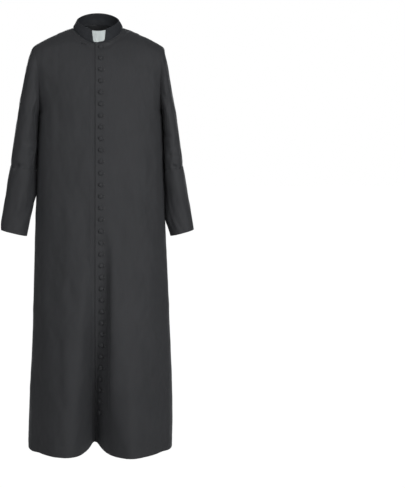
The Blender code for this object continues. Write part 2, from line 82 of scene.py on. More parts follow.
COLLAR_SLIT = 0.0003
TAB_X = -0.006
WINDOW_HALF_TOP = 0.026
WINDOW_HALF_BOTTOM = 0.0195
WINDOW_CORNER = 0.006
WINDOW_BOTTOM = 0.10
WINDOW_CURVE = 0.12
WINDOW_EDGE = 0.00001
TAB_HALF = 0.032
TAB_BOTTOM = 0.07
TAB_TOP = 0.95
TAB_GAP = 0.0006
TAB_THICKNESS = 0.001
BUTTON_COUNT = 33
BUTTON_FIRST_Z = -0.074
BUTTON_PITCH = 0.0385

# The solids' own counts, which place the rows above the underarm
ARM_STEPS = 12
CENTRE_STEPS = {FRONT: 7, BACK: 8}
LAP_SHARE = 0.14

# Fine counts
ARM_FINE = 5
SKIRT_ROWS = 220
COLUMNS = {FRONT: 46, BACK: 52}
LAP_COLUMNS = 16
BESIDE_LAP = [0.0019 * n for n in range(1, 13)]
BACK_SEAM_SHARES = [0.0, 0.005, 0.012, 0.022]
SIDE_SEAM_SHARES = [0.975, 0.988, 0.996, 1.0]
SLEEVE_STEP = 10
SMOOTHING = 40
THIN = 0.0012
FACED = 0.0018

Level = namedtuple("Level", "z right left front back front_power back_power")
LEVELS = [
    Level(-1.440, 0.2490, 0.2475, 0.205, 0.172, 2.0, 3.4),
    Level(-1.350, 0.2480, 0.2495, 0.199, 0.168, 2.0, 3.3),
    Level(-1.210, 0.2420, 0.2470, 0.189, 0.161, 2.0, 3.1),
    Level(-1.070, 0.2350, 0.2410, 0.177, 0.153, 2.1, 3.0),
    Level(-0.930, 0.2310, 0.2350, 0.165, 0.144, 2.1, 2.8),
    Level(-0.800, 0.2280, 0.2290, 0.154, 0.136, 2.2, 2.7),
    Level(-0.660, 0.2240, 0.2225, 0.145, 0.128, 2.2, 2.6),
    Level(-0.500, 0.2185, 0.2185, 0.136, 0.120, 2.3, 2.4),
    Level(-0.400, 0.2155, 0.2155, 0.132, 0.117, 2.3, 2.3),
    Level(-0.300, 0.2135, 0.2135, 0.130, 0.116, 2.3, 2.3),
    Level(-0.200, 0.2135, 0.2135, 0.126, 0.117, 2.2, 2.2),
    Level(-0.120, 0.2135, 0.2135, 0.111, 0.112, 2.1, 2.1),
    Level(-0.062, 0.2135, 0.2135, 0.088, 0.099, 2.0, 2.0),
    Level(-0.020, 0.2135, 0.2135, 0.070, 0.084, 2.0, 2.0),
    Level(0.0170, 0.2135, 0.2135, 0.060, 0.066, 2.0, 2.0),
]

# The skirt's large folds, as in the solids
Fold = namedtuple("Fold",
                  "face top_z top_x hem_x depth right_reach left_reach power growth rise")
FOLDS = [
    Fold(FRONT, -0.760, -0.0175, -0.0175, 0.155, 0.125, 0.150, 3.0, 1.15, 0.024),
    Fold(FRONT, -0.800, 0.100, 0.105, -0.014, 0.080, 0.080, 2.0, 1.0, 0.0),
    Fold(FRONT, -0.930, -0.200, -0.200, 0.007, 0.030, 0.035, 2.0, 0.8, 0.0),
    Fold(FRONT, -1.020, 0.196, 0.204, 0.006, 0.030, 0.024, 2.0, 0.8, 0.0),
    Fold(BACK, -0.640, 0.0, 0.0, 0.135, 0.080, 0.080, 2.0, 1.2, 0.020),
    Fold(BACK, -0.900, 0.178, 0.190, 0.010, 0.035, 0.030, 2.0, 0.7, 0.0),
    Fold(BACK, -1.000, -0.170, -0.182, 0.008, 0.032, 0.036, 2.0, 0.7, 0.0),
]
FOLD_FLAT = 0.003
FOLD_ROUND = 0.012
FOLD_TOP_REACH = 0.55
HEM_NOTCH = 4

Station = namedtuple("Station", "z outer_z inner_z half_depth forward")
STATIONS = [Station(n, *row) for n, row in enumerate([
    (-0.067, -0.300, 0.0730, 0.000),
    (-0.076, -0.304, 0.0765, 0.000),
    (-0.100, -0.313, 0.0780, 0.000),
    (-0.142, -0.330, 0.0780, 0.000),
    (-0.195, -0.352, 0.0770, 0.001),
    (-0.255, -0.380, 0.0750, 0.003),
    (-0.320, -0.412, 0.0720, 0.006),
    (-0.385, -0.444, 0.0680, 0.009),
    (-0.440, -0.470, 0.0650, 0.011),
    (-0.474, -0.488, 0.0625, 0.013),
    (-0.530, -0.545, 0.0575, 0.015),
    (-0.585, -0.603, 0.0530, 0.018),
    (-0.640, -0.658, 0.0490, 0.020),
    (-0.690, -0.711, 0.0465, 0.022),
])]
CUFF_FIRST_STATION = 9

Edge = namedtuple("Edge", "z right_outer left_outer right_inner left_inner")
EDGES = [
    Edge(-0.711, 0.3420, 0.3220, 0.2520, 0.2400),
    Edge(-0.661, 0.3395, 0.3160, 0.2420, 0.2262),
    Edge(-0.592, 0.3280, 0.3035, 0.2270, 0.2235),
    Edge(-0.523, 0.3170, 0.2920, 0.2218, 0.2212),
    Edge(-0.454, 0.3060, 0.2810, 0.2194, 0.2192),
    Edge(-0.385, 0.2960, 0.2720, 0.2176, 0.2176),
    Edge(-0.316, 0.2860, 0.2625, 0.2160, 0.2160),
    Edge(-0.247, 0.2755, 0.2510, 0.2135, 0.2135),
    Edge(-0.178, 0.2620, 0.2390, 0.2135, 0.2135),
    Edge(-0.109, 0.2480, 0.2270, 0.2135, 0.2135),
    Edge(-0.067, 0.2320, 0.2180, 0.2135, 0.2135),
]


def mix(start, end, t):
    return start + (end - start) * t


def new_object(name, data):
    """An object in the scene's collection."""
    obj = bpy.data.objects.new(name, data)
    bpy.context.scene.collection.objects.link(obj)
    return obj


def new_mesh(name, verts, faces, material):
    """A smooth mesh with one material."""
    mesh = bpy.data.meshes.new(name)
    mesh.from_pydata(verts, [], faces)
    mesh.materials.append(material)
    mesh.shade_smooth()
    return mesh


def soft(low, high, value):
    """Soft step from 0 to 1 between low and high, for a number or an array."""
    t = np.clip((value - low) / (high - low), 0, 1)
    return t * t * (3 - 2 * t)


def smooth_value(table, z, column):
    """Value of a table's column at height z, on a smooth curve through its rows."""
    rows = sorted(table, key=lambda row: row.z)
    if z <= rows[0].z:
        return getattr(rows[0], column)
    if z >= rows[-1].z:
        return getattr(rows[-1], column)
    i = max(n for n in range(len(rows) - 1) if rows[n].z <= z)
    low, high = rows[i], rows[i + 1]
    before, after = rows[max(i - 1, 0)], rows[min(i + 2, len(rows) - 1)]
    span = high.z - low.z
    start, end = getattr(low, column), getattr(high, column)
    slope_start = (end - getattr(before, column)) / (high.z - before.z) * span
    slope_end = (getattr(after, column) - start) / (after.z - low.z) * span
    t = (z - low.z) / span
    return ((2 * t**3 - 3 * t**2 + 1) * start + (t**3 - 2 * t**2 + t) * slope_start
            + (3 * t**2 - 2 * t**3) * end + (t**3 - t**2) * slope_end)


def lap_lift(x):
    """How far the overlapping front stands off at a distance x from centre front."""
    return (CLOTH + LAP_GAP) * (1 - soft(LAP + 0.004, LAP_FADE_END, x))


def fold_share(fold, x, z):
    """Share of a fold's depth, from 0 to 1, at a point of the body."""
    run = (fold.top_z - z) / (fold.top_z - HEM_Z)
    if run <= 0:
        return 0.0
    centre = mix(fold.top_x, fold.hem_x, run)
    hem_reach = fold.left_reach if x > centre else fold.right_reach
    reach = hem_reach * mix(FOLD_TOP_REACH, 1.0, run)
    off = max(abs(x - centre) - FOLD_FLAT, 0.0)
    off = math.hypot(off, FOLD_ROUND) - FOLD_ROUND
    if off >= reach:
        return 0.0
    return run**fold.growth * (1 - off / reach) ** fold.power


def fold_body_point(point, face):
    """Move a point of the front or back by the folds that pass through it."""
    x, y, z = point
    for fold in FOLDS:
        if fold.face == face:
            share = fold_share(fold, x, z)
            y -= face * fold.depth * share
            z += fold.rise * share**HEM_NOTCH
    return Vector((x, y, z))


def neck_point(side, turn):
    """Point of the neckline; turn is the angle from the front centre, 180 degrees at the back."""
    ahead = math.cos(turn)
    x = NECK_X + side * NECK_HALF * math.sin(turn)
    if ahead > 0:
        return Vector((x, -NECK_FRONT_Y * ahead, NECK_Z[FRONT] * ahead**1.7))
    return Vector((x, -NECK_BACK_Y * ahead, NECK_Z[BACK] * (-ahead) ** 1.5))


def armhole_point(face, side, rise):
    """Point of the armhole; rise runs from 0 at the underarm to 1 at the shoulder tip."""
    swell = 2 * math.sqrt(max(rise * (1 - rise), 0.0))
    x = mix(UNDERARM_HALF, SHOULDER_HALF, rise) - ARMHOLE_INDENT * swell
    tip_line = SHOULDER_TIP_Z + SHOULDER_SLOPE * (SHOULDER_HALF - x)
    z = mix(UNDERARM_Z, tip_line, rise)
    return Vector((side * x + SHOULDER_SWAY * rise, face * ARMHOLE_HALF_DEPTH * swell**0.9, z))


# One row of a panel. cut is the cosine of the arc's end angle: 0 is a full quarter section.
Row = namedtuple("Row", "inner outer cut power bow centred")
NECK_CUT = 0.62


def skirt_row(face, side, z):
    half = smooth_value(LEVELS, z, SIDE_NAMES[side])
    depth = smooth_value(LEVELS, z, FACE_NAMES[face])
    power = smooth_value(LEVELS, z, FACE_NAMES[face] + "_power")
    return Row(Vector((0, face * depth, z)), Vector((side * half, 0, z)), 0.0, power, 2.0, True)


def first_neck_turn(face, side):
    """Angle of the neckline where it meets the front edge or the centre back seam."""
    if face == FRONT:
        return math.asin((-LAP - side * NECK_X) / NECK_HALF)
    return math.pi - math.asin(-side * NECK_X / NECK_HALF)


def chest_row(face, side, step):
    """Row above the underarm; step counts up to ARM_STEPS at the shoulder seam."""
    rise = (1 - math.cos(math.pi * step / ARM_STEPS)) / 2
    outer = armhole_point(face, side, rise)
    centre_steps = CENTRE_STEPS[face]
    if step <= centre_steps:
        z = mix(UNDERARM_Z, NECK_Z[face], step / centre_steps)
        column = FACE_NAMES[face]
        depth = smooth_value(LEVELS, z, column)
        power = smooth_value(LEVELS, z, column + "_power")
        cut = min(abs(outer.y) / depth, NECK_CUT)
        return Row(Vector((0, face * depth, z)), outer, cut, power, 2.0, True)
    climb = (step - centre_steps) / (ARM_STEPS - centre_steps)
    turn = mix(first_neck_turn(face, side), math.pi / 2, climb)
    return Row(neck_point(side, turn), outer, NECK_CUT, 2.0, mix(2.0, 1.0, climb), False)


def row_point(row, s):
    """Point at share s of a row, before the folds; s is below 0 past the centre line."""
    arc = math.acos(row.cut)
    bend = 2 / row.power
    turn = abs(s) * arc
    across = math.copysign((math.sin(turn) / math.sin(arc)) ** bend, s)
    ahead = max((math.cos(turn) - row.cut) / (1 - row.cut), 0.0) ** bend
    x = mix(row.inner.x, row.outer.x, across)
    y = mix(row.outer.y, row.inner.y, ahead)
    z = mix(row.inner.z, row.outer.z, abs(s) ** row.bow)
    return Vector((x, y, z))


def share_at(row, side, x):
    """Share s at which a row passes the distance x from centre front."""
    if not row.centred:
        return LAP_SHARE * (x + LAP) / (2 * LAP)
    arc = math.acos(row.cut)
    across = abs(x) / (side * row.outer.x)
    return math.copysign(math.asin(across ** (row.power / 2) * math.sin(arc)) / arc, x)


def front_offsets():
    """Distances from centre front of the fine columns by the closure."""
    lap = [mix(-LAP, LAP, n / LAP_COLUMNS) for n in range(LAP_COLUMNS + 1)]
    return lap + [LAP + off for off in BESIDE_LAP]


def column_shares(row, face, side):
    """Shares s of a row's fine columns, close together at the closure and at the seams."""
    first = BACK_SEAM_SHARES
    if face == FRONT:
        first = [share_at(row, side, x) for x in front_offsets()]
    count = COLUMNS[face]
    middle = [mix(first[-1], SIDE_SEAM_SHARES[0], j / count) for j in range(1, count)]
    return first + middle + SIDE_SEAM_SHARES


def body_grid(face, side):
    """Fine rows of points of a front or back panel, from the hem up, centre to side."""
    heights = [HEM_Z, HEM_Z + 0.0012, HEM_Z + 0.003]
    heights += [mix(HEM_Z, UNDERARM_Z, n / SKIRT_ROWS) for n in range(1, SKIRT_ROWS)]
    rows = [skirt_row(face, side, z) for z in heights]
    rows += [chest_row(face, side, n / ARM_FINE) for n in range(ARM_STEPS * ARM_FINE + 1)]
    points = np.array([[fold_body_point(row_point(row, s), face)
                        for s in column_shares(row, face, side)] for row in rows])
    join_neck_rows(points, face)
    return points


def join_neck_rows(points, face):
    """Lead the rows that start at centre front or back smoothly into those that start at the
    neckline, and keep the neckline and the armhole where they are."""
    low = len(points) - 1 - (ARM_STEPS - CENTRE_STEPS[face]) * ARM_FINE
    high = low + ARM_FINE
    share = np.linspace(0, 1, points.shape[1])[:, None]
    for row in range(low + 1, high):
        joined = mix(points[low], points[high], (row - low) / ARM_FINE)
        at_neck, at_arm = points[row, 0] - joined[0], points[row, -1] - joined[-1]
        points[row] = joined + at_neck * (1 - share) ** 4 + at_arm * share**4
    first, last = low - ARM_FINE, high + ARM_FINE
    closure = 0.21 if face == FRONT else 0.0
    hold = soft(closure, closure + 0.15, share) * soft(0.0, 0.12, 1 - share)
    for _ in range(SMOOTHING):
        middle = (points[first - 1:last - 1] + points[first + 1:last + 1]) / 2
        points[first:last] += (middle - points[first:last]) * hold / 2


def sleeve_loop(side, n, covered):
    """Loop of a sleeve at station n, from the underarm over the front to the outer edge and
    back behind. covered draws the loop in by the cloth that lies over it."""
    station = Station(n, *(smooth_value(STATIONS, n, name) for name in Station._fields[1:]))
    name = SIDE_NAMES[side]
    outer_x = smooth_value(EDGES, station.outer_z, name + "_outer") - covered
    inner_x = smooth_value(EDGES, station.inner_z, name + "_inner") + covered
    count = ARM_STEPS * ARM_FINE
    loop = []
    for j in range(2 * count):
        turn = math.pi * j / count
        rise = (1 - math.cos(turn)) / 2
        x = side * mix(inner_x, outer_x, rise)
        swell = math.copysign(abs(math.sin(turn)) ** 0.9, math.sin(turn))
        indent = side * ARMHOLE_INDENT * abs(swell) * max(1 - n / 3, 0.0)
        y = -(station.half_depth - covered) * swell - station.forward
        point = Vector((x - indent, y, mix(station.inner_z, station.outer_z, rise)))
        if n < 1:
            point = armhole_point(FRONT if j <= count else BACK, side, rise).lerp(point, n)
        loop.append(point)
    return loop


def grid_normals(points, closed, outward):
    """Unit normals of a grid of points, turned to the side that outward gives."""
    if closed:
        across = np.roll(points, -1, 1) - np.roll(points, 1, 1)
    else:
        wide = np.concatenate([points[:, :1], points, points[:, -1:]], 1)
        across = wide[:, 2:] - wide[:, :-2]
    tall = np.concatenate([points[:1], points, points[-1:]], 0)
    normals = np.cross(across, tall[2:] - tall[:-2])
    return normals / np.linalg.norm(normals, axis=2, keepdims=True) * outward


def run_lengths(points, axis):
    """Lengths along the grid's lines, from the first point."""
    steps = np.linalg.norm(np.diff(points, axis=axis), axis=2)
    start = np.zeros_like(np.take(steps, [0], axis))
    return np.concatenate([start, np.cumsum(steps, axis)], axis)


def curve_field(a, b, path, width, lean):
    """Soft ridge of height 1 along a curved line through three points, fading at its ends.
    lean makes the slope on the line's left wide and the other one steep, or the reverse."""
    start, middle, end = (np.array(p) for p in path)
    control = 2 * middle - (start + end) / 2
    steps = 14
    best = np.full(a.shape, 1e9)
    field = np.zeros(a.shape)
    for n in range(steps):
        t0, t1 = n / steps, (n + 1) / steps
        p0 = (1 - t0) ** 2 * start + 2 * t0 * (1 - t0) * control + t0**2 * end
        p1 = (1 - t1) ** 2 * start + 2 * t1 * (1 - t1) * control + t1**2 * end
        along = p1 - p0
        length = np.hypot(*along)
        u = ((a - p0[0]) * along[0] + (b - p0[1]) * along[1]) / length**2
        u = np.clip(u, 0, 1)
        off_a, off_b = a - p0[0] - u * along[0], b - p0[1] - u * along[1]
        off = np.hypot(off_a, off_b)
        signed = (along[0] * off_b - along[1] * off_a) / length
        reach = width * (1 + lean * np.sign(signed) * np.minimum(np.abs(signed) / width, 1))
        t = t0 + u / steps
        fade = np.clip(np.minimum(t, 1 - t) / 0.3, 0, 1)
        fade = fade * fade * (3 - 2 * fade)
        value = np.exp(-(off / reach) ** 2) * fade
        closer = off < best
        field = np.where(closer, value, field)
        best = np.where(closer, off, best)
    return field


def ripples(a, b, size, seed):
    """Uneven waves about 1 high; size is their length across and along, in metres."""
    rng = random.Random(seed)
    field = np.zeros(a.shape)
    waves = 7
    for n in range(waves):
        angle = rng.uniform(-0.45, 0.45)
        scale = 2 * math.pi * rng.uniform(0.6, 1.6)
        turn = a * math.cos(angle) / size[0] + b * math.sin(angle) / size[0]
        drift = b / size[1] * rng.uniform(0.5, 1.5)
        field += np.sin(scale * turn + 2.3 * np.sin(scale * drift + rng.uniform(0, 6.3))
                        + rng.uniform(0, 6.3))
    return field / math.sqrt(waves)


# Folds and creases, listed one by one. On the body a and b are the distances x and z; path gives the
# start, middle and end. Depth is out of the cloth, and negative in a trough.
Crease = namedtuple("Crease", "path width depth lean")
FRONT_CREASES = [
    Crease([(-0.205, -0.150), (-0.150, -0.235), (-0.135, -0.340)], 0.020, -0.0022, 0.3),
    Crease([(-0.196, -0.100), (-0.160, -0.140), (-0.120, -0.150)], 0.016, -0.0016, -0.2),
    Crease([(0.204, -0.120), (0.165, -0.200), (0.150, -0.330)], 0.020, -0.0022, -0.3),
    Crease([(0.196, -0.095), (0.150, -0.125), (0.105, -0.130)], 0.015, -0.0014, 0.2),
    Crease([(-0.070, -0.270), (-0.055, -0.350), (-0.062, -0.470)], 0.020, -0.0024, 0.0),
    Crease([(-0.145, -0.240), (-0.140, -0.340), (-0.148, -0.450)], 0.018, -0.0020, 0.2),
    Crease([(-0.040, -0.300), (-0.052, -0.420), (-0.080, -0.560)], 0.022, 0.0026, 0.2),
    Crease([(0.060, -0.330), (0.085, -0.520), (0.072, -0.700)], 0.026, -0.0024, 0.0),
    Crease([(0.120, -0.480), (0.115, -0.640), (0.125, -0.830)], 0.024, 0.0030, -0.2),
    Crease([(0.165, -0.380), (0.172, -0.560), (0.160, -0.760)], 0.020, -0.0026, 0.2),
    Crease([(-0.110, -0.560), (-0.105, -0.720), (-0.115, -0.900)], 0.022, 0.0034, 0.2),
    Crease([(-0.050, -0.560), (-0.050, -0.660), (-0.042, -0.780)], 0.018, -0.0036, 0.2),
    Crease([(-0.165, -0.650), (-0.160, -0.850), (-0.172, -1.050)], 0.020, -0.0030, 0.2),
    Crease([(0.192, -0.640), (0.188, -0.860), (0.196, -1.080)], 0.020, -0.0024, -0.2),
    Crease([(0.070, -0.820), (0.092, -1.000), (0.082, -1.240)], 0.022, -0.0028, 0.2),
    Crease([(-0.100, -0.960), (-0.112, -1.150), (-0.098, -1.400)], 0.024, 0.0040, 0.2),
    Crease([(0.150, -1.000), (0.142, -1.200), (0.156, -1.400)], 0.022, 0.0034, -0.2),
]
# Beside the closure, on both fronts alike so that the lap keeps its gap
VALLEY_CREASES = [
    Crease([(0.008, -0.640), (0.010, -0.900), (0.010, -1.300)], 0.022, -0.0105, 0.0),
    Crease([(0.040, -0.700), (0.043, -1.020), (0.047, -1.430)], 0.019, 0.0120, 0.3),
    Crease([(0.085, -0.720), (0.090, -1.040), (0.094, -1.430)], 0.030, 0.0045, 0.0),
    Crease([(-0.052, -0.780), (-0.060, -1.000), (-0.066, -1.400)], 0.022, 0.0040, 0.0),
]
BACK_CREASES = [
    Crease([(-0.200, -0.120), (-0.150, -0.200), (-0.135, -0.320)], 0.020, -0.0026, 0.3),
    Crease([(0.200, -0.120), (0.155, -0.190), (0.125, -0.310)], 0.020, -0.0026, -0.3),
    Crease([(-0.060, -0.030), (0.000, -0.050), (0.055, -0.028)], 0.011, -0.0014, 0.0),
    Crease([(-0.100, -0.420), (-0.085, -0.600), (-0.095, -0.820)], 0.026, 0.0030, 0.0),
    Crease([(0.090, -0.400), (0.100, -0.600), (0.085, -0.850)], 0.026, 0.0030, 0.0),
    Crease([(0.045, -0.460), (0.055, -0.640), (0.070, -0.900)], 0.020, -0.0026, 0.2),
    Crease([(-0.040, -0.480), (-0.055, -0.660), (-0.075, -0.940)], 0.020, -0.0026, -0.2),
    Crease([(0.150, -0.520), (0.160, -0.760), (0.150, -1.000)], 0.022, -0.0034, 0.2),
    Crease([(-0.150, -0.560), (-0.140, -0.800), (-0.150, -1.040)], 0.022, -0.0030, -0.2),
    Crease([(0.120, -0.900), (0.112, -1.120), (0.122, -1.400)], 0.026, 0.0040, 0.0),
    Crease([(-0.118, -0.940), (-0.125, -1.140), (-0.112, -1.400)], 0.026, 0.0040, 0.0),
]

# On a sleeve a is the distance round it from the underarm seam, over the front to the back, and
# b the height.
LEFT_SLEEVE_CREASES = [
    Crease([(0.016, -0.280), (0.018, -0.420), (0.018, -0.580)], 0.012, -0.0016, 0.0),
    Crease([(0.022, -0.500), (0.026, -0.620), (0.024, -0.740)], 0.020, -0.0060, 0.0),
    Crease([(0.064, -0.474), (0.075, -0.476), (0.086, -0.472)], 0.007, -0.0062, 0.0),
    Crease([(0.060, -0.150), (0.075, -0.235), (0.055, -0.330)], 0.014, -0.0050, 0.3),
    Crease([(0.115, -0.170), (0.095, -0.250), (0.105, -0.350)], 0.015, 0.0030, -0.2),
    Crease([(0.030, -0.345), (0.070, -0.372), (0.110, -0.368)], 0.011, -0.0030, 0.3),
    Crease([(0.035, -0.390), (0.075, -0.412), (0.118, -0.395)], 0.012, -0.0026, 0.3),
    Crease([(0.050, -0.425), (0.085, -0.440), (0.125, -0.432)], 0.011, -0.0020, 0.3),
    Crease([(0.090, -0.500), (0.078, -0.590), (0.092, -0.680)], 0.016, 0.0022, 0.2),
    Crease([(0.040, -0.520), (0.050, -0.600), (0.042, -0.690)], 0.013, -0.0022, 0.0),
    Crease([(0.270, -0.140), (0.255, -0.240), (0.275, -0.350)], 0.018, -0.0040, 0.2),
    Crease([(0.230, -0.300), (0.255, -0.380), (0.225, -0.450)], 0.018, -0.0030, 0.2),
    Crease([(0.215, -0.500), (0.230, -0.590), (0.215, -0.680)], 0.018, 0.0022, 0.0),
]
RIGHT_SLEEVE_CREASES = [
    Crease([(0.016, -0.280), (0.018, -0.400), (0.018, -0.540)], 0.012, -0.0020, 0.0),
    Crease([(0.026, -0.390), (0.030, -0.520), (0.024, -0.680)], 0.022, -0.0070, 0.0),
    Crease([(0.090, -0.472), (0.100, -0.474), (0.112, -0.470)], 0.007, -0.0050, 0.0),
    Crease([(0.055, -0.140), (0.068, -0.240), (0.050, -0.340)], 0.014, -0.0050, 0.3),
    Crease([(0.110, -0.150), (0.098, -0.250), (0.112, -0.360)], 0.016, 0.0030, -0.2),
    Crease([(0.028, -0.350), (0.066, -0.392), (0.116, -0.380)], 0.012, -0.0032, 0.3),
    Crease([(0.034, -0.400), (0.072, -0.432), (0.120, -0.428)], 0.011, -0.0026, 0.3),
    Crease([(0.085, -0.500), (0.075, -0.590), (0.088, -0.680)], 0.018, 0.0024, 0.2),
    Crease([(0.038, -0.510), (0.048, -0.600), (0.040, -0.690)], 0.013, -0.0020, 0.0),
    Crease([(0.280, -0.140), (0.262, -0.250), (0.282, -0.360)], 0.018, -0.0040, 0.2),
    Crease([(0.240, -0.310), (0.262, -0.390), (0.232, -0.455)], 0.018, -0.0030, 0.2),
    Crease([(0.225, -0.500), (0.238, -0.590), (0.222, -0.680)], 0.018, 0.0022, 0.0),
]

# The cloth turns in along the armhole: depth by height on the body and the sleeve alike
ARMHOLE_TROUGH = 0.0110
TROUGH_TOP, TROUGH_FULL, TROUGH_LOW = -0.095, -0.175, -0.292
SEAM_DIP = 0.0008
SEAM_WIDTH = 0.0030
NECK_DIP, NECK_DIP_WIDTH = 0.0011, 0.0030
NECK_ROLL, NECK_CREASE = 0.0012, 0.0040
DIMPLE, DIMPLE_WIDTH = 0.0016, 0.0080
SLEEVE_GIRTH = 0.40
LEAN_GAP, LEAN_FORWARD = 0.0005, 0.055
LEAN_SPARE = 0.0020
LEAN_END = {LEFT: (-0.685, -0.650), RIGHT: (-0.600, -0.570)}


def armhole_line(z):
    """Distance of the armhole from the middle, by height."""
    rise = np.clip((z - UNDERARM_Z) / (SHOULDER_TIP_Z - UNDERARM_Z), 0, 1)
    return mix(UNDERARM_HALF, SHOULDER_HALF, rise) - 2 * ARMHOLE_INDENT * np.sqrt(rise * (1 - rise))


def armhole_trough(points, width):
    """Sideways turn of the cloth at the armhole, as a shift along y towards the inside."""
    x, y, z = np.moveaxis(points, 2, 0)
    rise = np.clip((z - UNDERARM_Z) / (SHOULDER_TIP_Z - UNDERARM_Z), 0, 1)
    off = np.abs(x - SHOULDER_SWAY * rise) - armhole_line(z)
    depth = soft(TROUGH_TOP, TROUGH_FULL, z) * (1 - 0.25 * soft(TROUGH_FULL, TROUGH_LOW, z))
    depth = depth * soft(0.0, 0.045, np.abs(y))
    return -np.sign(y) * ARMHOLE_TROUGH * depth * np.exp(-(off / width) ** 2)


def dress_body(points, face, side):
    """Give a body panel its folds, seam lines and lap."""
    outward = -face * side
    normals = grid_normals(points, False, outward)
    x, z = points[..., 0], points[..., 2]
    lift = np.zeros(x.shape)
    for crease in (FRONT_CREASES if face == FRONT else BACK_CREASES):
        lift += crease.depth * curve_field(x, z, crease.path, crease.width, crease.lean)
    # Small waves, stronger towards the hem
    growth = 0.35 + 0.65 * soft(-0.25, -0.95, z)
    lift += 0.0009 * growth * ripples(x, z, (0.075, 0.60), 11 + face)
    lift += 0.0004 * ripples(x, z, (0.030, 0.25), 17 + face)
    across, up = run_lengths(points, 1), run_lengths(points, 0)
    to_side = across[:, -1:] - across
    to_top = up[-1:] - up
    to_hem = up
    # The seams and the closure lie flat
    calm = soft(0.0, 0.022, to_side) * soft(0.0, 0.022, to_top)
    if face == FRONT:
        calm = calm * (0.2 + 0.8 * soft(0.012, 0.050, np.abs(x)))
    else:
        calm = calm * soft(0.0, 0.020, np.abs(x))
    lift *= calm
    if face == FRONT:
        for crease in VALLEY_CREASES:
            lift += crease.depth * curve_field(x, z, crease.path, crease.width, crease.lean)
    # Seams are drawn in and pucker the cloth beside them
    pucker = 0.45 + 0.30 * np.sin(z * 520 + 2 * np.sin(z * 61)) + 0.25 * np.sin(z * 210)
    dip = np.exp(-(to_side / SEAM_WIDTH) ** 2) + np.exp(-(to_top / SEAM_WIDTH) ** 2)
    neckline = points[-1 - (ARM_STEPS - CENTRE_STEPS[face]) * ARM_FINE:, 0]
    to_neck = np.linalg.norm(points[:, :, None] - neckline, axis=3).min(2)
    # The neck seam, and the roll and crease round it in front
    lift -= NECK_DIP * np.exp(-(to_neck / NECK_DIP_WIDTH) ** 2)
    if face == FRONT:
        uneven = 0.65 + 0.35 * np.sin(x * 75 + 0.6)
        lift += NECK_ROLL * np.exp(-((to_neck - 0.008) / 0.005) ** 2) * uneven
        lift -= NECK_CREASE * np.exp(-((to_neck - 0.0165) / 0.0060) ** 2) * uneven
    if face == BACK:
        dip += np.exp(-(across / SEAM_WIDTH) ** 2) * soft(0.0, 0.01, np.minimum(to_top, 1))
    lift -= SEAM_DIP * dip * (0.7 + 0.3 * pucker)
    beside = np.exp(-((to_side - 0.009) / 0.006) ** 2) * pucker
    lift += 0.0005 * beside * soft(-0.80, -0.10, z)
    # The edge of the hem's fold inside shows through
    lift -= 0.0006 * np.exp(-((to_hem - 0.038) / 0.003) ** 2)
    if (face, side) == (FRONT, RIGHT):
        for edge_x in (-0.0231, -0.0338):
            lift += 0.0006 * np.exp(-((x - edge_x) / 0.0014) ** 2)
    if (face, side) == (FRONT, LEFT):
        lift += lap_lift(np.abs(x))
        for n in range(BUTTON_COUNT):
            off = np.hypot(x, z - BUTTON_FIRST_Z + n * BUTTON_PITCH)
            lift -= DIMPLE * np.exp(-(off / DIMPLE_WIDTH) ** 2)
    dressed = points + normals * lift[..., None]
    dressed[..., 1] += armhole_trough(points, 0.015)
    return dressed


def sleeve_folds(points, side):
    """Lift of a sleeve's cloth by its folds, fading at the seam inside the arm."""
    across = run_lengths(points, 1)
    girth = across[:, -1:] + np.linalg.norm(points[:, :1] - points[:, -1:], axis=2)
    z = points[..., 2]
    lift = np.zeros(z.shape)
    for crease in (LEFT_SLEEVE_CREASES if side == LEFT else RIGHT_SLEEVE_CREASES):
        for turn in (-1, 0, 1):
            lift += crease.depth * curve_field(across + turn * girth, z, crease.path,
                                               crease.width, crease.lean)
    lift += 0.0007 * ripples(across * SLEEVE_GIRTH / girth, z, (0.05, 0.30), 23 + side)
    seam = np.minimum(across, girth - across)
    return lift * soft(0.0, 0.012, seam), across, seam


def dress_sleeve(points, side):
    """Give a sleeve its folds and its seams."""
    lift, across, seam = sleeve_folds(points, side)
    down = run_lengths(points, 0)
    lift *= soft(0.0, 0.020, down)
    lift -= SEAM_DIP * (np.exp(-(down / SEAM_WIDTH) ** 2) + np.exp(-(seam / SEAM_WIDTH) ** 2))
    pucker = 0.5 + 0.5 * np.sin(across * 330 + 2 * np.sin(across * 47))
    lift += 0.0007 * pucker * np.exp(-((down - 0.009) / 0.006) ** 2)
    dressed = points + grid_normals(points, True, -side) * lift[..., None]
    dressed[..., 1] += armhole_trough(points, 0.010)
    return dressed


def lean_on_body(points, body, side, spare):
    """Bring a sleeve's or cuff's inner edge against the side of the body down to where the arm
    leaves it. spare is what each loop leaves free for cloth that lies over it."""
    seam = body[:-ARM_STEPS * ARM_FINE, -1]
    edge = points[:, 0]
    clear = LEAN_GAP - LEAN_FORWARD * np.abs(edge[:, 1])
    gap = side * (edge[:, 0] - np.interp(edge[:, 2], seam[:, 2], seam[:, 0])) - clear - spare
    low, high = LEAN_END[side]
    gap = np.maximum(gap, 0) * soft(low, high, edge[:, 2]) * soft(-0.290, -0.320, edge[:, 2])
    turn = np.linspace(0, 2 * math.pi, points.shape[1], endpoint=False)
    points[..., 0] -= side * gap[:, None] * ((1 + np.cos(turn)) / 2) ** 3


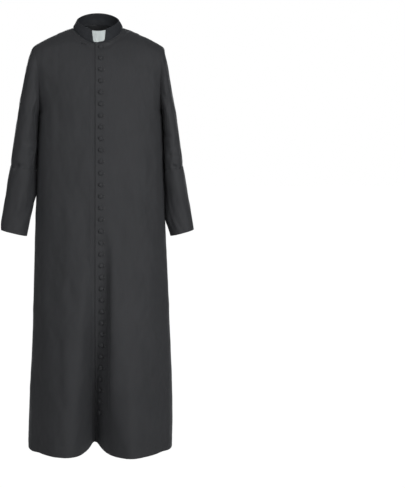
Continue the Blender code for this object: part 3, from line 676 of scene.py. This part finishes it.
def shell(name, points, closed, outward, thickness, material, normals=None):
    """A thin cloth piece with a rounded edge: outer skin, inner skin and rim, with a weave map in
    metres along and across the cloth. Returns the object."""
    rows, cols = points.shape[:2]
    if normals is None:
        normals = grid_normals(points, closed, outward)
    inner = points - normals * thickness
    span = cols if closed else cols - 1
    i, j = [a.ravel() for a in np.mgrid[0:rows - 1, 0:span]]
    corner_i = np.stack([i, i, i + 1, i + 1], 1)
    corner_j = np.stack([j, j + 1, j + 1, j], 1)
    wide = np.concatenate([points, points[:, :1]], 1) if closed else points
    u, v = run_lengths(wide, 1), run_lengths(wide, 0)
    skin = corner_i * cols + corner_j % cols
    uv = np.stack([u[corner_i, corner_j], v[corner_i, corner_j]], 2)
    if closed:
        ring = [(0, n) for n in range(cols + 1)], [(rows - 1, n) for n in range(cols, -1, -1)]
        lines = [np.array(line) for line in ring]
    else:
        lines = [np.array([(0, n) for n in range(cols)]
                          + [(n, cols - 1) for n in range(1, rows)]
                          + [(rows - 1, n) for n in range(cols - 2, -1, -1)]
                          + [(n, 0) for n in range(rows - 2, -1, -1)])]
    total = rows * cols
    verts = [points.reshape(-1, 3), inner.reshape(-1, 3)]
    faces = [skin, (skin + total)[:, ::-1]]
    uvs = [uv, uv[:, ::-1]]
    start = 2 * total
    for line in lines:
        li, lj = line[:-1, 0], line[:-1, 1] % cols
        inside = (np.clip(li, 1, rows - 2), lj if closed else np.clip(lj, 1, cols - 2))
        out = points[li, lj] - points[inside]
        out /= np.linalg.norm(out, axis=1, keepdims=True)
        verts.append((points[li, lj] + inner[li, lj]) / 2 + out * thickness * 0.45)
        count = len(li)
        here, there = np.arange(count), (np.arange(count) + 1) % count
        rim = start + np.arange(count)
        outer_ring = li * cols + lj
        a, b = outer_ring[there], outer_ring[here]
        faces.append(np.stack([a, b, rim[here], rim[there]], 1))
        faces.append(np.stack([rim[there], rim[here], b + total, a + total], 1))
        edge = np.stack([u[li, line[:-1, 1]], v[li, line[:-1, 1]]], 1)
        for _ in range(2):
            uvs.append(np.stack([edge[there], edge, edge, edge[there]], 1))
        start += count
    verts, faces, uvs = np.concatenate(verts), np.concatenate(faces), np.concatenate(uvs)
    if outward < 0:
        faces, uvs = faces[:, ::-1], uvs[:, ::-1]
    mesh = new_mesh(name, verts.tolist(), faces.tolist(), material)
    weave = mesh.uv_layers.new(name="weave")
    weave.data.foreach_set("uv", uvs.astype(np.float32).ravel())
    obj = new_object(name, mesh)
    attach(obj, "root")
    return obj


def close_seams(points, normals, face, side):
    """Set the side, shoulder and centre back seams on their planes, half a gap apart."""
    arm_rows = ARM_STEPS * ARM_FINE
    skirt = slice(0, -arm_rows)
    points[skirt, -1, 1] += face * SEAM_GAP / 2
    points[-1, :, 1] += face * SEAM_GAP / 2
    normals[skirt, -1, 1] = 0
    normals[-1, :, 1] = 0
    if face == BACK:
        below_neck = slice(0, -arm_rows + CENTRE_STEPS[BACK] * ARM_FINE)
        points[below_neck, 0, 0] += side * SEAM_GAP / 2
        normals[below_neck, 0, 0] = 0
    normals /= np.linalg.norm(normals, axis=2, keepdims=True)


def share_armhole(bodies, sleeve, sleeve_normals, side):
    """Give the body and the sleeve the same normals along the armhole, and part them."""
    count = ARM_STEPS * ARM_FINE
    for j in range(2 * count):
        up = j if j <= count else 2 * count - j
        faces = [FRONT if j <= count else BACK]
        if up in (0, count):
            faces = [FRONT, BACK]
        total = sleeve_normals[0, j] + sum(bodies[f, side][1][up - count - 1, -1] for f in faces)
        if up in (0, count):
            total[1] = 0
        total /= np.linalg.norm(total)
        sleeve_normals[0, j] = total
        away = sleeve[1, j] - sleeve[0, j]
        from_underarm = min(j, 2 * count - j) / ARM_FINE
        ease = UNDERARM_EASE * max(1 - from_underarm / 3, 0.0)
        sleeve[0, j] += away / np.linalg.norm(away) * (ARMHOLE_GAP / 2 + ease)
    for f in (FRONT, BACK):
        points, normals = bodies[f, side]
        for up in range(count + 1):
            row = up - count - 1
            j = up if f == FRONT else (2 * count - up) % (2 * count)
            normals[row, -1] = sleeve_normals[0, j]
            back = points[row, -2] - points[row, -1]
            points[row, -1] += back / np.linalg.norm(back) * ARMHOLE_GAP / 2


def neckline_path(bodies):
    """Corners of the neckline as (turn, point) all the way round from the lap over the wearer's
    left shoulder, the back and the right shoulder."""
    count = ARM_STEPS * ARM_FINE
    path = []
    for side in (LEFT, RIGHT):
        for face in (FRONT, BACK):
            first = CENTRE_STEPS[face] * ARM_FINE
            for row in range(first + (1 if (side, face) == (RIGHT, BACK) else 0),
                             count + (1 if face == FRONT else 0)):
                climb = (row - first) / (count - first)
                turn = mix(first_neck_turn(face, side), math.pi / 2, climb)
                point = Vector(bodies[face, side][0][row - count - 1, 0])
                path.append((turn if side == LEFT else 2 * math.pi - turn, point))
    path.sort(key=lambda knot: knot[0])
    return path


def foot_point(path, turn):
    """Foot of the collar at an angle, a seam gap above the neckline."""
    i = max([n for n in range(len(path) - 1) if path[n][0] <= turn], default=0)
    (start, low), (end, high) = path[i], path[i + 1]
    share = (turn - start) / (end - start) if end > start else 0.0
    return low.lerp(high, min(max(share, 0.0), 1.0)) + Vector((0, 0, SEAM_GAP))


def collar_point(path, turn, climb):
    """Point of the collar band; turn goes round from the front, climb from the seam to the top."""
    ahead = math.cos(turn)
    x = NECK_X + COLLAR_TOP_HALF * math.sin(turn)
    if ahead > 0:
        top_z = mix(COLLAR_TOP_SIDE_Z, COLLAR_TOP_FRONT_Z, ahead**1.5)
        top = Vector((x, -COLLAR_TOP_FRONT_Y * ahead, top_z))
    else:
        top_z = mix(COLLAR_TOP_SIDE_Z, COLLAR_TOP_BACK_Z, (-ahead) ** 1.2)
        top = Vector((x, -COLLAR_TOP_BACK_Y * ahead, top_z))
    return foot_point(path, turn).lerp(top, climb)


def collar_turn(x):
    """Angle at which the front of the collar passes a distance x from the middle of the body."""
    return math.asin((x - NECK_X) / ((COLLAR_TOP_HALF + NECK_HALF) / 2))


def window_height(turn):
    """Height share that the collar keeps, low where the window for the tab is open."""
    off = abs(NECK_X + (COLLAR_TOP_HALF + NECK_HALF) / 2 * math.sin(turn) - TAB_X)
    if math.cos(turn) < 0 or off >= WINDOW_HALF_TOP - WINDOW_EDGE:
        return 1.0
    inset = max(off - (WINDOW_HALF_BOTTOM - WINDOW_CORNER), 0.0) / WINDOW_CORNER
    if inset <= 1:
        return WINDOW_BOTTOM + WINDOW_CURVE * inset**2
    side_run = (off - WINDOW_HALF_BOTTOM) / (WINDOW_HALF_TOP - WINDOW_HALF_BOTTOM)
    return mix(WINDOW_BOTTOM + WINDOW_CURVE, 1.0, side_run)


# Puckers of the collar: angle round the neck in degrees, height share, tilt, width, depth
COLLAR_CREASES = [
    Crease([(0.330, 0.15), (0.300, 0.45), (0.262, 0.75)], 0.05, -0.0012, 0.0),
    Crease([(0.520, 0.20), (0.480, 0.50), (0.430, 0.85)], 0.06, 0.0012, 0.0),
    Crease([(0.760, 0.25), (0.700, 0.55), (0.660, 0.90)], 0.06, -0.0012, 0.0),
    Crease([(1.100, 0.35), (1.000, 0.55), (0.880, 0.70)], 0.08, 0.0010, 0.0),
    Crease([(5.780, 0.20), (5.840, 0.50), (5.900, 0.80)], 0.05, -0.0010, 0.0),
    Crease([(5.350, 0.35), (5.450, 0.50), (5.600, 0.55)], 0.06, 0.0009, 0.0),
    Crease([(4.700, 0.30), (4.900, 0.50), (5.100, 0.62)], 0.08, -0.0010, 0.0),
    Crease([(2.600, 0.40), (3.100, 0.52), (3.600, 0.42)], 0.10, 0.0010, 0.0),
]
COLLAR_COLUMNS = 190
COLLAR_ROWS = 14
COLLAR_FULL = 0.0016
COLLAR_STITCH_ROW = 3


def collar_turns(path):
    """Angles of the collar's columns, with columns at the window's corners."""
    slit = path[0][0]
    half_gap = COLLAR_SLIT / NECK_HALF
    window = []
    for way in (-1, 1):
        for off in (WINDOW_HALF_TOP, WINDOW_HALF_BOTTOM + 0.003, WINDOW_HALF_BOTTOM,
                    WINDOW_HALF_BOTTOM - 0.0015, WINDOW_HALF_BOTTOM - 0.003,
                    WINDOW_HALF_BOTTOM - 0.0045, WINDOW_HALF_BOTTOM - WINDOW_CORNER,
                    0.009, 0.005):
            window.append(collar_turn(TAB_X + way * off))
    window = [turn if turn > slit else turn + 2 * math.pi for turn in window]
    start = max(turn for turn in window if turn < math.pi)
    end = min(turn for turn in window if turn > math.pi)
    band = [mix(start, end, n / COLLAR_COLUMNS) for n in range(1, COLLAR_COLUMNS)]
    ends = [slit + half_gap, slit + 2 * math.pi - half_gap]
    return sorted(window + band + ends)


def build_collar(path, material):
    """The stand collar with its window, slightly puckered where it is stitched."""
    turns = collar_turns(path)
    climbs = [n / COLLAR_ROWS for n in range(COLLAR_ROWS + 1)]
    plain = np.array([[collar_point(path, turn, climb) for turn in turns] for climb in climbs])
    points = np.array([[collar_point(path, turn, climb * window_height(turn)) for turn in turns]
                       for climb in climbs])
    normals = grid_normals(plain, False, 1)
    a, b = np.meshgrid(turns, climbs)
    lift = np.zeros(a.shape)
    for crease in COLLAR_CREASES:
        lift += crease.depth * curve_field(a, b, crease.path, crease.width * 2, 0.0)
    lift += 0.0004 * ripples(a * 0.08, b * 0.04, (0.03, 0.05), 5)
    lift += COLLAR_FULL * soft(0.0, 0.18, b) * soft(0.0, 0.6, 1 - b)
    lift *= soft(0.0, 0.15, b) * soft(0.0, 0.12, 1 - b)
    points = points + normals * lift[..., None]
    whole = [n for n, turn in enumerate(turns) if window_height(turn) == 1.0]
    top = slice(whole[0] + 1, whole[-1])
    collar = shell("collar_cloth", points, False, 1, FACED, material, normals=normals)
    return collar, points[-COLLAR_STITCH_ROW, top], normals[-COLLAR_STITCH_ROW, top]


def build_tab(path, material):
    """The plastic strip behind the window, with a bevelled edge."""
    count = 40
    turns = [collar_turn(TAB_X + TAB_HALF * n / count * 2) for n in range(-count // 2, count // 2 + 1)]
    slit = path[0][0]
    turns = [turn if turn > slit else turn + 2 * math.pi for turn in turns]
    climbs = [mix(TAB_BOTTOM, TAB_TOP, n / 12) for n in range(13)]
    points = np.array([[collar_point(path, turn, climb) for turn in turns] for climb in climbs])
    normals = grid_normals(points, False, 1)
    points = points - normals * (CLOTH + TAB_GAP)
    return shell("collar_tab_strip", points, False, 1, TAB_THICKNESS, material,
                 normals)


CUFF_HUG = 0.0009
CUFF_GAPE = 0.0046
CUFF_SAG = 0.0050
CUFF_SPOT = {LEFT: 0.63 * math.pi, RIGHT: 0.74 * math.pi}
CUFF_STEP = 12


def build_cuff(side, body, material):
    """The turned-back cuff, a little proud of the sleeve, rolled into it at the wrist."""
    covered = CLOTH + SEAM_GAP
    last = len(STATIONS) - 1
    count = (last - CUFF_FIRST_STATION) * CUFF_STEP
    rows = [mix(CUFF_FIRST_STATION, last, n / count) for n in range(count + 1)]
    base = np.array([sleeve_loop(side, n, covered) for n in rows])
    base += grid_normals(base, True, -side) * sleeve_folds(base, side)[0][..., None]
    normals = grid_normals(base, True, -side)
    down = run_lengths(base, 0)
    turn = np.linspace(0, 2 * math.pi, base.shape[1], endpoint=False)[None, :]
    spot = np.exp(-((turn - CUFF_SPOT[side]) / 0.24) ** 2)
    gape = CUFF_GAPE * (spot + 0.6 * np.exp(-((turn - 1.30 * math.pi) / 0.22) ** 2))
    out = covered + (gape - CUFF_HUG) * np.exp(-(down / 0.013) ** 2)
    points = base + normals * out[..., None]
    lift = 0.0010 * np.sin(turn * 3 + 0.8) * soft(0.03, 0.20, down)
    points += normals * lift[..., None]
    points[..., 2] -= CUFF_SAG * spot * np.exp(-(down / 0.020) ** 2)
    lean_on_body(points, body, side, 0.0)
    normals = grid_normals(points, True, -side)
    low, low_normals = points[-1], normals[-1]
    fall = low - points[-2]
    fall /= np.linalg.norm(fall, axis=1, keepdims=True)
    rolled = [(0.0011, 0.0005), (0.0017, 0.0018), (0.0012, 0.0033), (-0.0010, 0.0042),
              (-0.0100, 0.0044), (-0.0110, 0.0040)]
    extra = [low + fall * drop - low_normals * inward for drop, inward in rolled]
    points = np.concatenate([points, np.array(extra)])
    obj = shell(f"cuff_{SIDE_NAMES[side]}_cloth", points, True, -side, 0.0007, material)
    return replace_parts(obj, f"cuff_{SIDE_NAMES[side]}")


# A covered button's profile: radius and height over its foot, from the crown down and under
BUTTON_PROFILE = [(0.0, 6.00), (1.3, 5.95), (2.6, 5.76), (3.9, 5.40), (5.1, 4.84), (6.1, 4.14),
                  (6.9, 3.40), (7.5, 2.66), (7.8, 2.02), (7.75, 1.46), (7.35, 0.98), (6.7, 0.66),
                  (5.4, 0.50), (3.2, 0.42), (2.7, 0.20), (2.6, 0.0)]
BUTTON_SIDES = 32


def button_mesh(material):
    """A small dome under tight cloth, gathered on its underside."""
    verts, faces = [(0.0, 0.0, BUTTON_PROFILE[0][1] / 1000)], []
    for radius, height in BUTTON_PROFILE[1:]:
        under = soft(3.2, 1.2, height) if height < 3.2 else 0.0
        for k in range(BUTTON_SIDES):
            turn = 2 * math.pi * k / BUTTON_SIDES
            gather = 1 + 0.012 * under * math.sin(16 * turn + 0.6)
            verts.append((radius * gather / 1000 * math.cos(turn),
                          radius * gather / 1000 * math.sin(turn), height / 1000))
    for k in range(BUTTON_SIDES):
        faces.append((0, 1 + k, 1 + (k + 1) % BUTTON_SIDES))
    for ring in range(len(BUTTON_PROFILE) - 2):
        low, high = 1 + ring * BUTTON_SIDES, 1 + (ring + 1) * BUTTON_SIDES
        for k in range(BUTTON_SIDES):
            after = (k + 1) % BUTTON_SIDES
            faces.append((low + k, high + k, high + after, low + after))
    foot = 1 + (len(BUTTON_PROFILE) - 2) * BUTTON_SIDES
    faces.append(tuple(foot + k for k in reversed(range(BUTTON_SIDES))))
    return new_mesh("covered_button", verts, faces, material)


BUTTON_FOOT = 0.0066
BUTTON_SEAT = 0.0004
LAP_CENTRE_COLUMN = 8
LAP_HALF_COLUMNS = 4


def row_at(points, column, z):
    """Row number and share at which a column of the lapping front passes a height."""
    heights = points[:, column, 2]
    i = int(np.nonzero(heights <= z)[0][-1])
    return i, (z - heights[i]) / (heights[i + 1] - heights[i])


def button_seat(points, z):
    """Seat and normal of a button, clear of the cloth that rises beside it."""
    i, share = row_at(points, LAP_CENTRE_COLUMN, z)
    before, point, after = [
        Vector(mix(points[i, n], points[i + 1, n], share)) for n in
        (LAP_CENTRE_COLUMN - LAP_HALF_COLUMNS, LAP_CENTRE_COLUMN,
         LAP_CENTRE_COLUMN + LAP_HALF_COLUMNS)]
    upward = Vector(points[i + 1, LAP_CENTRE_COLUMN] - points[i, LAP_CENTRE_COLUMN])
    normal = (after - before).cross(upward).normalized()
    beside = max((after - point).dot(normal), (before - point).dot(normal), 0.0)
    return point + normal * (beside * BUTTON_FOOT / (LAP / 2) + BUTTON_SEAT), normal


def build_buttons(points, material):
    mesh = button_mesh(material)
    rng = random.Random(4)
    for n in range(BUTTON_COUNT):
        seat, normal = button_seat(points, BUTTON_FIRST_Z - n * BUTTON_PITCH)
        lean = Vector((rng.uniform(-1, 1), 0, rng.uniform(-1, 0.4))) * 0.05
        facing = (normal + lean).normalized().to_track_quat("Z", "Y")
        button = new_object(f"button_{n + 1:02d}_covered", mesh)
        button.matrix_world = (Matrix.Translation(seat) @ facing.to_matrix().to_4x4()
                               @ Matrix.Rotation(rng.uniform(0, math.tau), 4, "Z"))
        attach(button, "root")
        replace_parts(button, f"button_{n + 1:02d}")


def raised_strip(name, lines, profile, material):
    """Small raised strips that lie on the cloth, each one a line of (point, along, out) knots
    with the profile's (sideways, height) points across it, in one object."""
    verts, faces = [], []
    for line in lines:
        start = len(verts)
        for point, along, out in line:
            across = out.cross(along).normalized()
            verts += [point + across * sideways + out * height for sideways, height in profile]
        wide = len(profile)
        for i in range(len(line) - 1):
            for j in range(wide - 1):
                a = start + i * wide + j
                faces.append((a, a + 1, a + wide + 1, a + wide))
        faces.append(tuple(start + j for j in reversed(range(wide))))
        faces.append(tuple(start + (len(line) - 1) * wide + j for j in range(wide)))
        for i in range(len(line) - 1):
            a = start + i * wide
            faces.append((a + wide, a + 2 * wide - 1, a + wide - 1, a))
    obj = new_object(name, new_mesh(name, [tuple(v) for v in verts], faces, material))
    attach(obj, "root")
    return obj


BUTTONHOLE_COLUMNS = range(7, 15)
BUTTONHOLE_PROFILE = [(-0.0016, -0.0002), (-0.0012, 0.00030), (-0.0005, 0.00034), (0.0, 0.0001),
                      (0.0005, 0.00034), (0.0012, 0.00030), (0.0016, -0.0002)]
STITCH_PROFILE = [(-0.00028, -0.0001), (-0.00020, 0.00016), (0.0, 0.00024), (0.00020, 0.00016),
                  (0.00028, -0.0001)]
STITCH_PITCH = 0.0042
STITCH_LENGTH = 0.0030
STITCH_COLUMN = 1


def build_buttonholes(points, normals, material):
    """Worked buttonholes across the lap, mostly under their buttons."""
    lines = []
    for n in range(BUTTON_COUNT):
        i, share = row_at(points, LAP_CENTRE_COLUMN, BUTTON_FIRST_Z - n * BUTTON_PITCH)
        spots = [Vector(mix(points[i, c], points[i + 1, c], share)) for c in BUTTONHOLE_COLUMNS]
        outs = [Vector(normals[i, c]) for c in BUTTONHOLE_COLUMNS]
        alongs = [(b - a).normalized() for a, b in zip(spots, spots[1:])]
        lines.append(list(zip(spots, alongs + alongs[-1:], outs)))
    return raised_strip("buttonholes", lines, BUTTONHOLE_PROFILE, material)


def stitch_line(path, outs):
    """Stitches of even length along a path of points: a list of short lines of knots."""
    steps = [(b - a).length for a, b in zip(path, path[1:])]
    total = sum(steps)
    starts = [sum(steps[:n]) for n in range(len(steps))]

    def knot(run):
        i = max(n for n, start in enumerate(starts) if start <= run)
        share = (run - starts[i]) / steps[i]
        along = (path[i + 1] - path[i]).normalized()
        return path[i].lerp(path[i + 1], share), along, outs[i].lerp(outs[i + 1], share)

    lines = []
    for n in range(int(total / STITCH_PITCH)):
        run = n * STITCH_PITCH + 0.0006
        ends = [knot(run + STITCH_LENGTH * share) for share in (0.0, 0.25, 0.75, 1.0)]
        sunk = [(p - out * (0.0003 if k in (0, 3) else 0.0), along, out)
                for k, (p, along, out) in enumerate(ends)]
        lines.append(sunk)
    return lines


def build_stitching(seams, material):
    """Fine stitches along the lap's edge and round the top of the collar."""
    lines = []
    for points, normals in seams:
        lines += stitch_line([Vector(p) for p in points], [Vector(n) for n in normals])
    return raised_strip("stitching", lines, STITCH_PROFILE, material)


def add(tree, kind, **inputs):
    """A node with its inputs set by name: a value, or a socket to link."""
    node = tree.nodes.new(kind)
    for name, value in inputs.items():
        socket = node.inputs[name.replace("_", " ")]
        if isinstance(value, bpy.types.NodeSocket):
            tree.links.new(value, socket)
        else:
            socket.default_value = value
    return node


def calc(tree, operation, a, b, clamp=False):
    node = tree.nodes.new("ShaderNodeMath")
    node.operation = operation
    node.use_clamp = clamp
    for socket, value in zip(node.inputs, (a, b)):
        if isinstance(value, bpy.types.NodeSocket):
            tree.links.new(value, socket)
        else:
            socket.default_value = value
    return node.outputs[0]


def blend(tree, share, a, b):
    """Colour between a and b by a share socket."""
    node = tree.nodes.new("ShaderNodeMix")
    node.data_type = "RGBA"
    tree.links.new(share, node.inputs["Factor"])
    for name, value in (("A", a), ("B", b)):
        socket = [s for s in node.inputs if s.name == name and s.type == "RGBA"][0]
        if isinstance(value, bpy.types.NodeSocket):
            tree.links.new(value, socket)
        else:
            socket.default_value = (*value, 1.0)
    return [s for s in node.outputs if s.type == "RGBA"][0]


def noise(tree, vector, scale, detail=2.0, roughness=0.5):
    return add(tree, "ShaderNodeTexNoise", Vector=vector, Scale=scale, Detail=detail,
               Roughness=roughness).outputs["Fac"]


def new_material(name):
    material = bpy.data.materials.new(name)
    material.use_nodes = True
    return material, material.node_tree, material.node_tree.nodes["Principled BSDF"]


def suiting(name, dark, light, weave_from_map=True):
    """Fine black twill with a soft bloom: diagonal ribs, slubs and uneven dye."""
    material, tree, shader = new_material(name)
    place = tree.nodes.new("ShaderNodeTexCoord").outputs["Object"]
    if weave_from_map:
        source = tree.nodes.new("ShaderNodeUVMap")
        source.uv_map = "weave"
        source = source.outputs[0]
    else:
        source = place
    split = add(tree, "ShaderNodeSeparateXYZ", Vector=source)
    u, v = split.outputs[0], split.outputs[1]
    slant = calc(tree, "ADD", calc(tree, "MULTIPLY", u, 0.8), calc(tree, "MULTIPLY", v, -1.0))
    wobble = calc(tree, "MULTIPLY", noise(tree, place, 900.0, 1.0), 0.00025)
    ribs = calc(tree, "SINE", calc(tree, "MULTIPLY", calc(tree, "ADD", slant, wobble),
                                   2 * math.pi / TWILL_PITCH), 0.0)
    picks = calc(tree, "SINE", calc(tree, "MULTIPLY", u, 2 * math.pi / (TWILL_PITCH * 0.62)), 0.0)
    weave = calc(tree, "ADD", calc(tree, "MULTIPLY", ribs, 0.32),
                 calc(tree, "MULTIPLY", picks, 0.14))
    weave = calc(tree, "ADD", weave, 0.5)
    fibre = noise(tree, place, 1400.0, 2.0, 0.6)
    clouds = noise(tree, place, 9.0, 3.0, 0.55)
    share = calc(tree, "ADD", calc(tree, "MULTIPLY", weave, 0.45),
                 calc(tree, "MULTIPLY", fibre, 0.25))
    share = calc(tree, "ADD", share, calc(tree, "MULTIPLY", clouds, 0.35), clamp=True)
    tree.links.new(blend(tree, share, dark, light), shader.inputs["Base Color"])
    rough = calc(tree, "ADD", calc(tree, "MULTIPLY", fibre, 0.12), 0.72)
    tree.links.new(rough, shader.inputs["Roughness"])
    height = calc(tree, "ADD", weave, calc(tree, "MULTIPLY", fibre, 0.5))
    bump = add(tree, "ShaderNodeBump", Height=height, Strength=0.35, Distance=0.00012)
    tree.links.new(bump.outputs[0], shader.inputs["Normal"])
    shader.inputs["Specular IOR Level"].default_value = 0.28
    shader.inputs["Sheen Weight"].default_value = 0.14
    shader.inputs["Sheen Roughness"].default_value = 0.38
    shader.inputs["Sheen Tint"].default_value = (0.80, 0.84, 0.90, 1.0)
    return material


def plastic(name):
    """Satin white plastic with faint rub marks."""
    material, tree, shader = new_material(name)
    place = tree.nodes.new("ShaderNodeTexCoord").outputs["Object"]
    clouds = noise(tree, place, 60.0, 3.0)
    fine = noise(tree, place, 900.0, 2.0)
    tree.links.new(blend(tree, clouds, (0.40, 0.44, 0.44), (0.47, 0.51, 0.505)),
                   shader.inputs["Base Color"])
    rough = calc(tree, "ADD", calc(tree, "MULTIPLY", clouds, 0.16), 0.28)
    tree.links.new(rough, shader.inputs["Roughness"])
    bump = add(tree, "ShaderNodeBump", Height=fine, Strength=0.12, Distance=0.0001)
    tree.links.new(bump.outputs[0], shader.inputs["Normal"])
    shader.inputs["IOR"].default_value = 1.49
    shader.inputs["Subsurface Weight"].default_value = 0.08
    shader.inputs["Subsurface Radius"].default_value = (0.004, 0.004, 0.004)
    return material


def thread(name, colour):
    """Polyester thread: twisted plies that catch a little light."""
    material, tree, shader = new_material(name)
    place = tree.nodes.new("ShaderNodeTexCoord").outputs["Object"]
    twist = noise(tree, place, 2400.0, 2.0)
    tree.links.new(blend(tree, twist, tuple(c * 0.6 for c in colour), colour),
                   shader.inputs["Base Color"])
    bump = add(tree, "ShaderNodeBump", Height=twist, Strength=0.4, Distance=0.0001)
    tree.links.new(bump.outputs[0], shader.inputs["Normal"])
    shader.inputs["Roughness"].default_value = 0.5
    shader.inputs["Sheen Weight"].default_value = 0.1
    return material


TWILL_PITCH = 0.0011

# Flat cut of a piece: width, length and area, in metres
Cut = namedtuple("Cut", "width length area")


FLOOR_Z = -1.575
FLOOR_REACH = 60.0
FLOOR_GLOW = 1.03
FLOOR_SHARE = 0.98
WORLD_LIGHT = 0.04


def seen_directly(tree):
    """Share that is 1 for what the picture shows itself and 0 for light on the garment."""
    return tree.nodes.new("ShaderNodeLightPath").outputs["Is Camera Ray"]


def build_floor():
    """A plain white studio floor that glows a little, so that it ends in the white behind it."""
    mesh = bpy.data.meshes.new("studio_floor")
    verts = [(x * FLOOR_REACH, y * FLOOR_REACH, FLOOR_Z)
             for x, y in ((-1, -1), (1, -1), (1, 1), (-1, 1))]
    mesh.from_pydata(verts, [], [(0, 1, 2, 3)])
    floor = new_object("studio_floor", mesh)
    material, tree, shader = new_material("studio_white")
    shader.inputs["Base Color"].default_value = (0.55, 0.55, 0.55, 1.0)
    shader.inputs["Roughness"].default_value = 0.9
    glow = add(tree, "ShaderNodeEmission", Strength=FLOOR_GLOW)
    share = calc(tree, "MULTIPLY", seen_directly(tree), FLOOR_SHARE)
    both = tree.nodes.new("ShaderNodeMixShader")
    tree.links.new(share, both.inputs[0])
    tree.links.new(shader.outputs[0], both.inputs[1])
    tree.links.new(glow.outputs[0], both.inputs[2])
    tree.links.new(both.outputs[0], tree.nodes["Material Output"].inputs["Surface"])
    mesh.materials.append(material)


# Soft boxes: place, aim, width, height, power in watts
Light = namedtuple("Light", "place aim width height power")
LIGHTS = [
    Light((2.0, -3.4, 0.2), (0.05, 0.0, -0.62), 1.4, 2.0, 113),
    Light((3.1, -2.5, 0.3), (0.05, 0.0, -0.60), 1.4, 2.0, 26),
    Light((-2.3, -3.0, 0.4), (-0.05, 0.0, -0.50), 1.4, 2.0, 36),
    Light((-2.4, -1.9, 2.1), (-0.12, 0.0, -0.15), 1.0, 1.0, 34),
    Light((-1.0, 4.2, 0.5), (-0.05, 0.0, -0.60), 1.4, 2.0, 100),
    Light((1.7, 3.8, 0.2), (0.05, 0.0, -0.60), 1.4, 2.0, 50),
]


def build_lights():
    world = bpy.data.worlds.new("studio")
    world.use_nodes = True
    tree = world.node_tree
    back = tree.nodes["Background"]
    back.inputs["Color"].default_value = (1.0, 1.0, 1.0, 1.0)
    more = calc(tree, "MULTIPLY", seen_directly(tree), 1.0 - WORLD_LIGHT)
    tree.links.new(calc(tree, "ADD", more, WORLD_LIGHT), back.inputs["Strength"])
    bpy.context.scene.world = world
    bpy.context.scene.view_settings.view_transform = "Standard"
    for n, light in enumerate(LIGHTS):
        data = bpy.data.lights.new(f"soft_box_{n + 1}", "AREA")
        data.shape = "RECTANGLE"
        data.size, data.size_y, data.energy = light.width, light.height, light.power
        lamp = new_object(data.name, data)
        lamp.location = light.place
        aim = Vector(light.aim) - Vector(light.place)
        lamp.rotation_euler = aim.to_track_quat("-Z", "Y").to_euler()


CAMERA_PLACE = (0.0, -4.0, -0.47)
CAMERA_YAW, CAMERA_TILT, CAMERA_ROLL = 2.138, 1.488, 0.062
CAMERA_LENS = 85.611
CAMERA_SHIFT = (0.12, -0.10)


def build_camera():
    """The photo's framing: the garment in the left half, seen straight on at chest height."""
    data = bpy.data.cameras.new("camera")
    data.sensor_fit = "AUTO"
    data.sensor_width = 36.0
    data.lens = CAMERA_LENS
    data.shift_x, data.shift_y = CAMERA_SHIFT
    data.clip_start, data.clip_end = 0.1, 60.0
    camera = new_object("camera", data)
    turn = (Matrix.Rotation(-math.radians(CAMERA_YAW), 4, "Z")
            @ Matrix.Rotation(math.radians(90 - CAMERA_TILT), 4, "X")
            @ Matrix.Rotation(math.radians(CAMERA_ROLL), 4, "Z"))
    camera.matrix_world = Matrix.Translation(CAMERA_PLACE) @ turn
    bpy.context.scene.camera = camera


def build_garment():
    cloth = suiting("black_twill", (0.0130, 0.0135, 0.0150), (0.034, 0.035, 0.038))
    # The collar band's twill is the body's twill made darker: painted shade on the collar band
    band = suiting("collar_twill_painted_shade", (0.0064, 0.0071, 0.0086), (0.019, 0.021, 0.025))
    covered = suiting("covered_button_twill", (0.0120, 0.0125, 0.0140), (0.036, 0.037, 0.040),
                      weave_from_map=False)
    black_thread = thread("black_thread", (0.020, 0.020, 0.022))
    bodies = {}
    for side in (LEFT, RIGHT):
        for face in (FRONT, BACK):
            points = dress_body(body_grid(face, side), face, side)
            normals = grid_normals(points, False, -face * side)
            close_seams(points, normals, face, side)
            bodies[face, side] = (points, normals)
        loops = (len(STATIONS) - 1) * SLEEVE_STEP
        covered_from = CUFF_FIRST_STATION - 0.8
        rows = [n / SLEEVE_STEP for n in range(loops + 1)]
        sleeve = np.array([sleeve_loop(side, n, (CLOTH + SEAM_GAP)
                                       * soft(covered_from, CUFF_FIRST_STATION, n))
                           for n in rows])
        sleeve = dress_sleeve(sleeve, side)
        spare = np.array([LEAN_SPARE * soft(CUFF_FIRST_STATION - 0.06, CUFF_FIRST_STATION, n)
                          for n in rows])
        lean_on_body(sleeve, bodies[FRONT, side][0], side, spare)
        sleeve_normals = grid_normals(sleeve, True, -side)
        share_armhole(bodies, sleeve, sleeve_normals, side)
        name = SIDE_NAMES[side]
        obj = shell(f"sleeve_{name}_cloth", sleeve, True, -side, THIN, cloth,
                    normals=sleeve_normals)
        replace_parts(obj, f"sleeve_{name}")
        cuff = build_cuff(side, bodies[FRONT, side][0], cloth)
    for (face, side), (points, normals) in bodies.items():
        name = f"{FACE_NAMES[face]}_{SIDE_NAMES[side]}"
        thickness = FACED if face == FRONT else THIN
        obj = shell(f"{name}_cloth", points, False, -face * side, thickness, cloth,
                    normals=normals)
        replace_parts(obj, name)
    path = neckline_path(bodies)
    collar, top, top_normals = build_collar(path, band)
    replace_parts(collar, "collar")
    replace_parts(build_tab(path, plastic("white_satin_plastic")), "collar_tab")
    lapping, normals = bodies[FRONT, LEFT]
    build_buttons(lapping, covered)
    build_buttonholes(lapping, normals, black_thread)
    edge = slice(4, -(ARM_STEPS - CENTRE_STEPS[FRONT]) * ARM_FINE - 2)
    build_stitching([(lapping[edge, STITCH_COLUMN], normals[edge, STITCH_COLUMN]),
                     (top, top_normals)], black_thread)


build_garment()
build_floor()
build_lights()
build_camera()
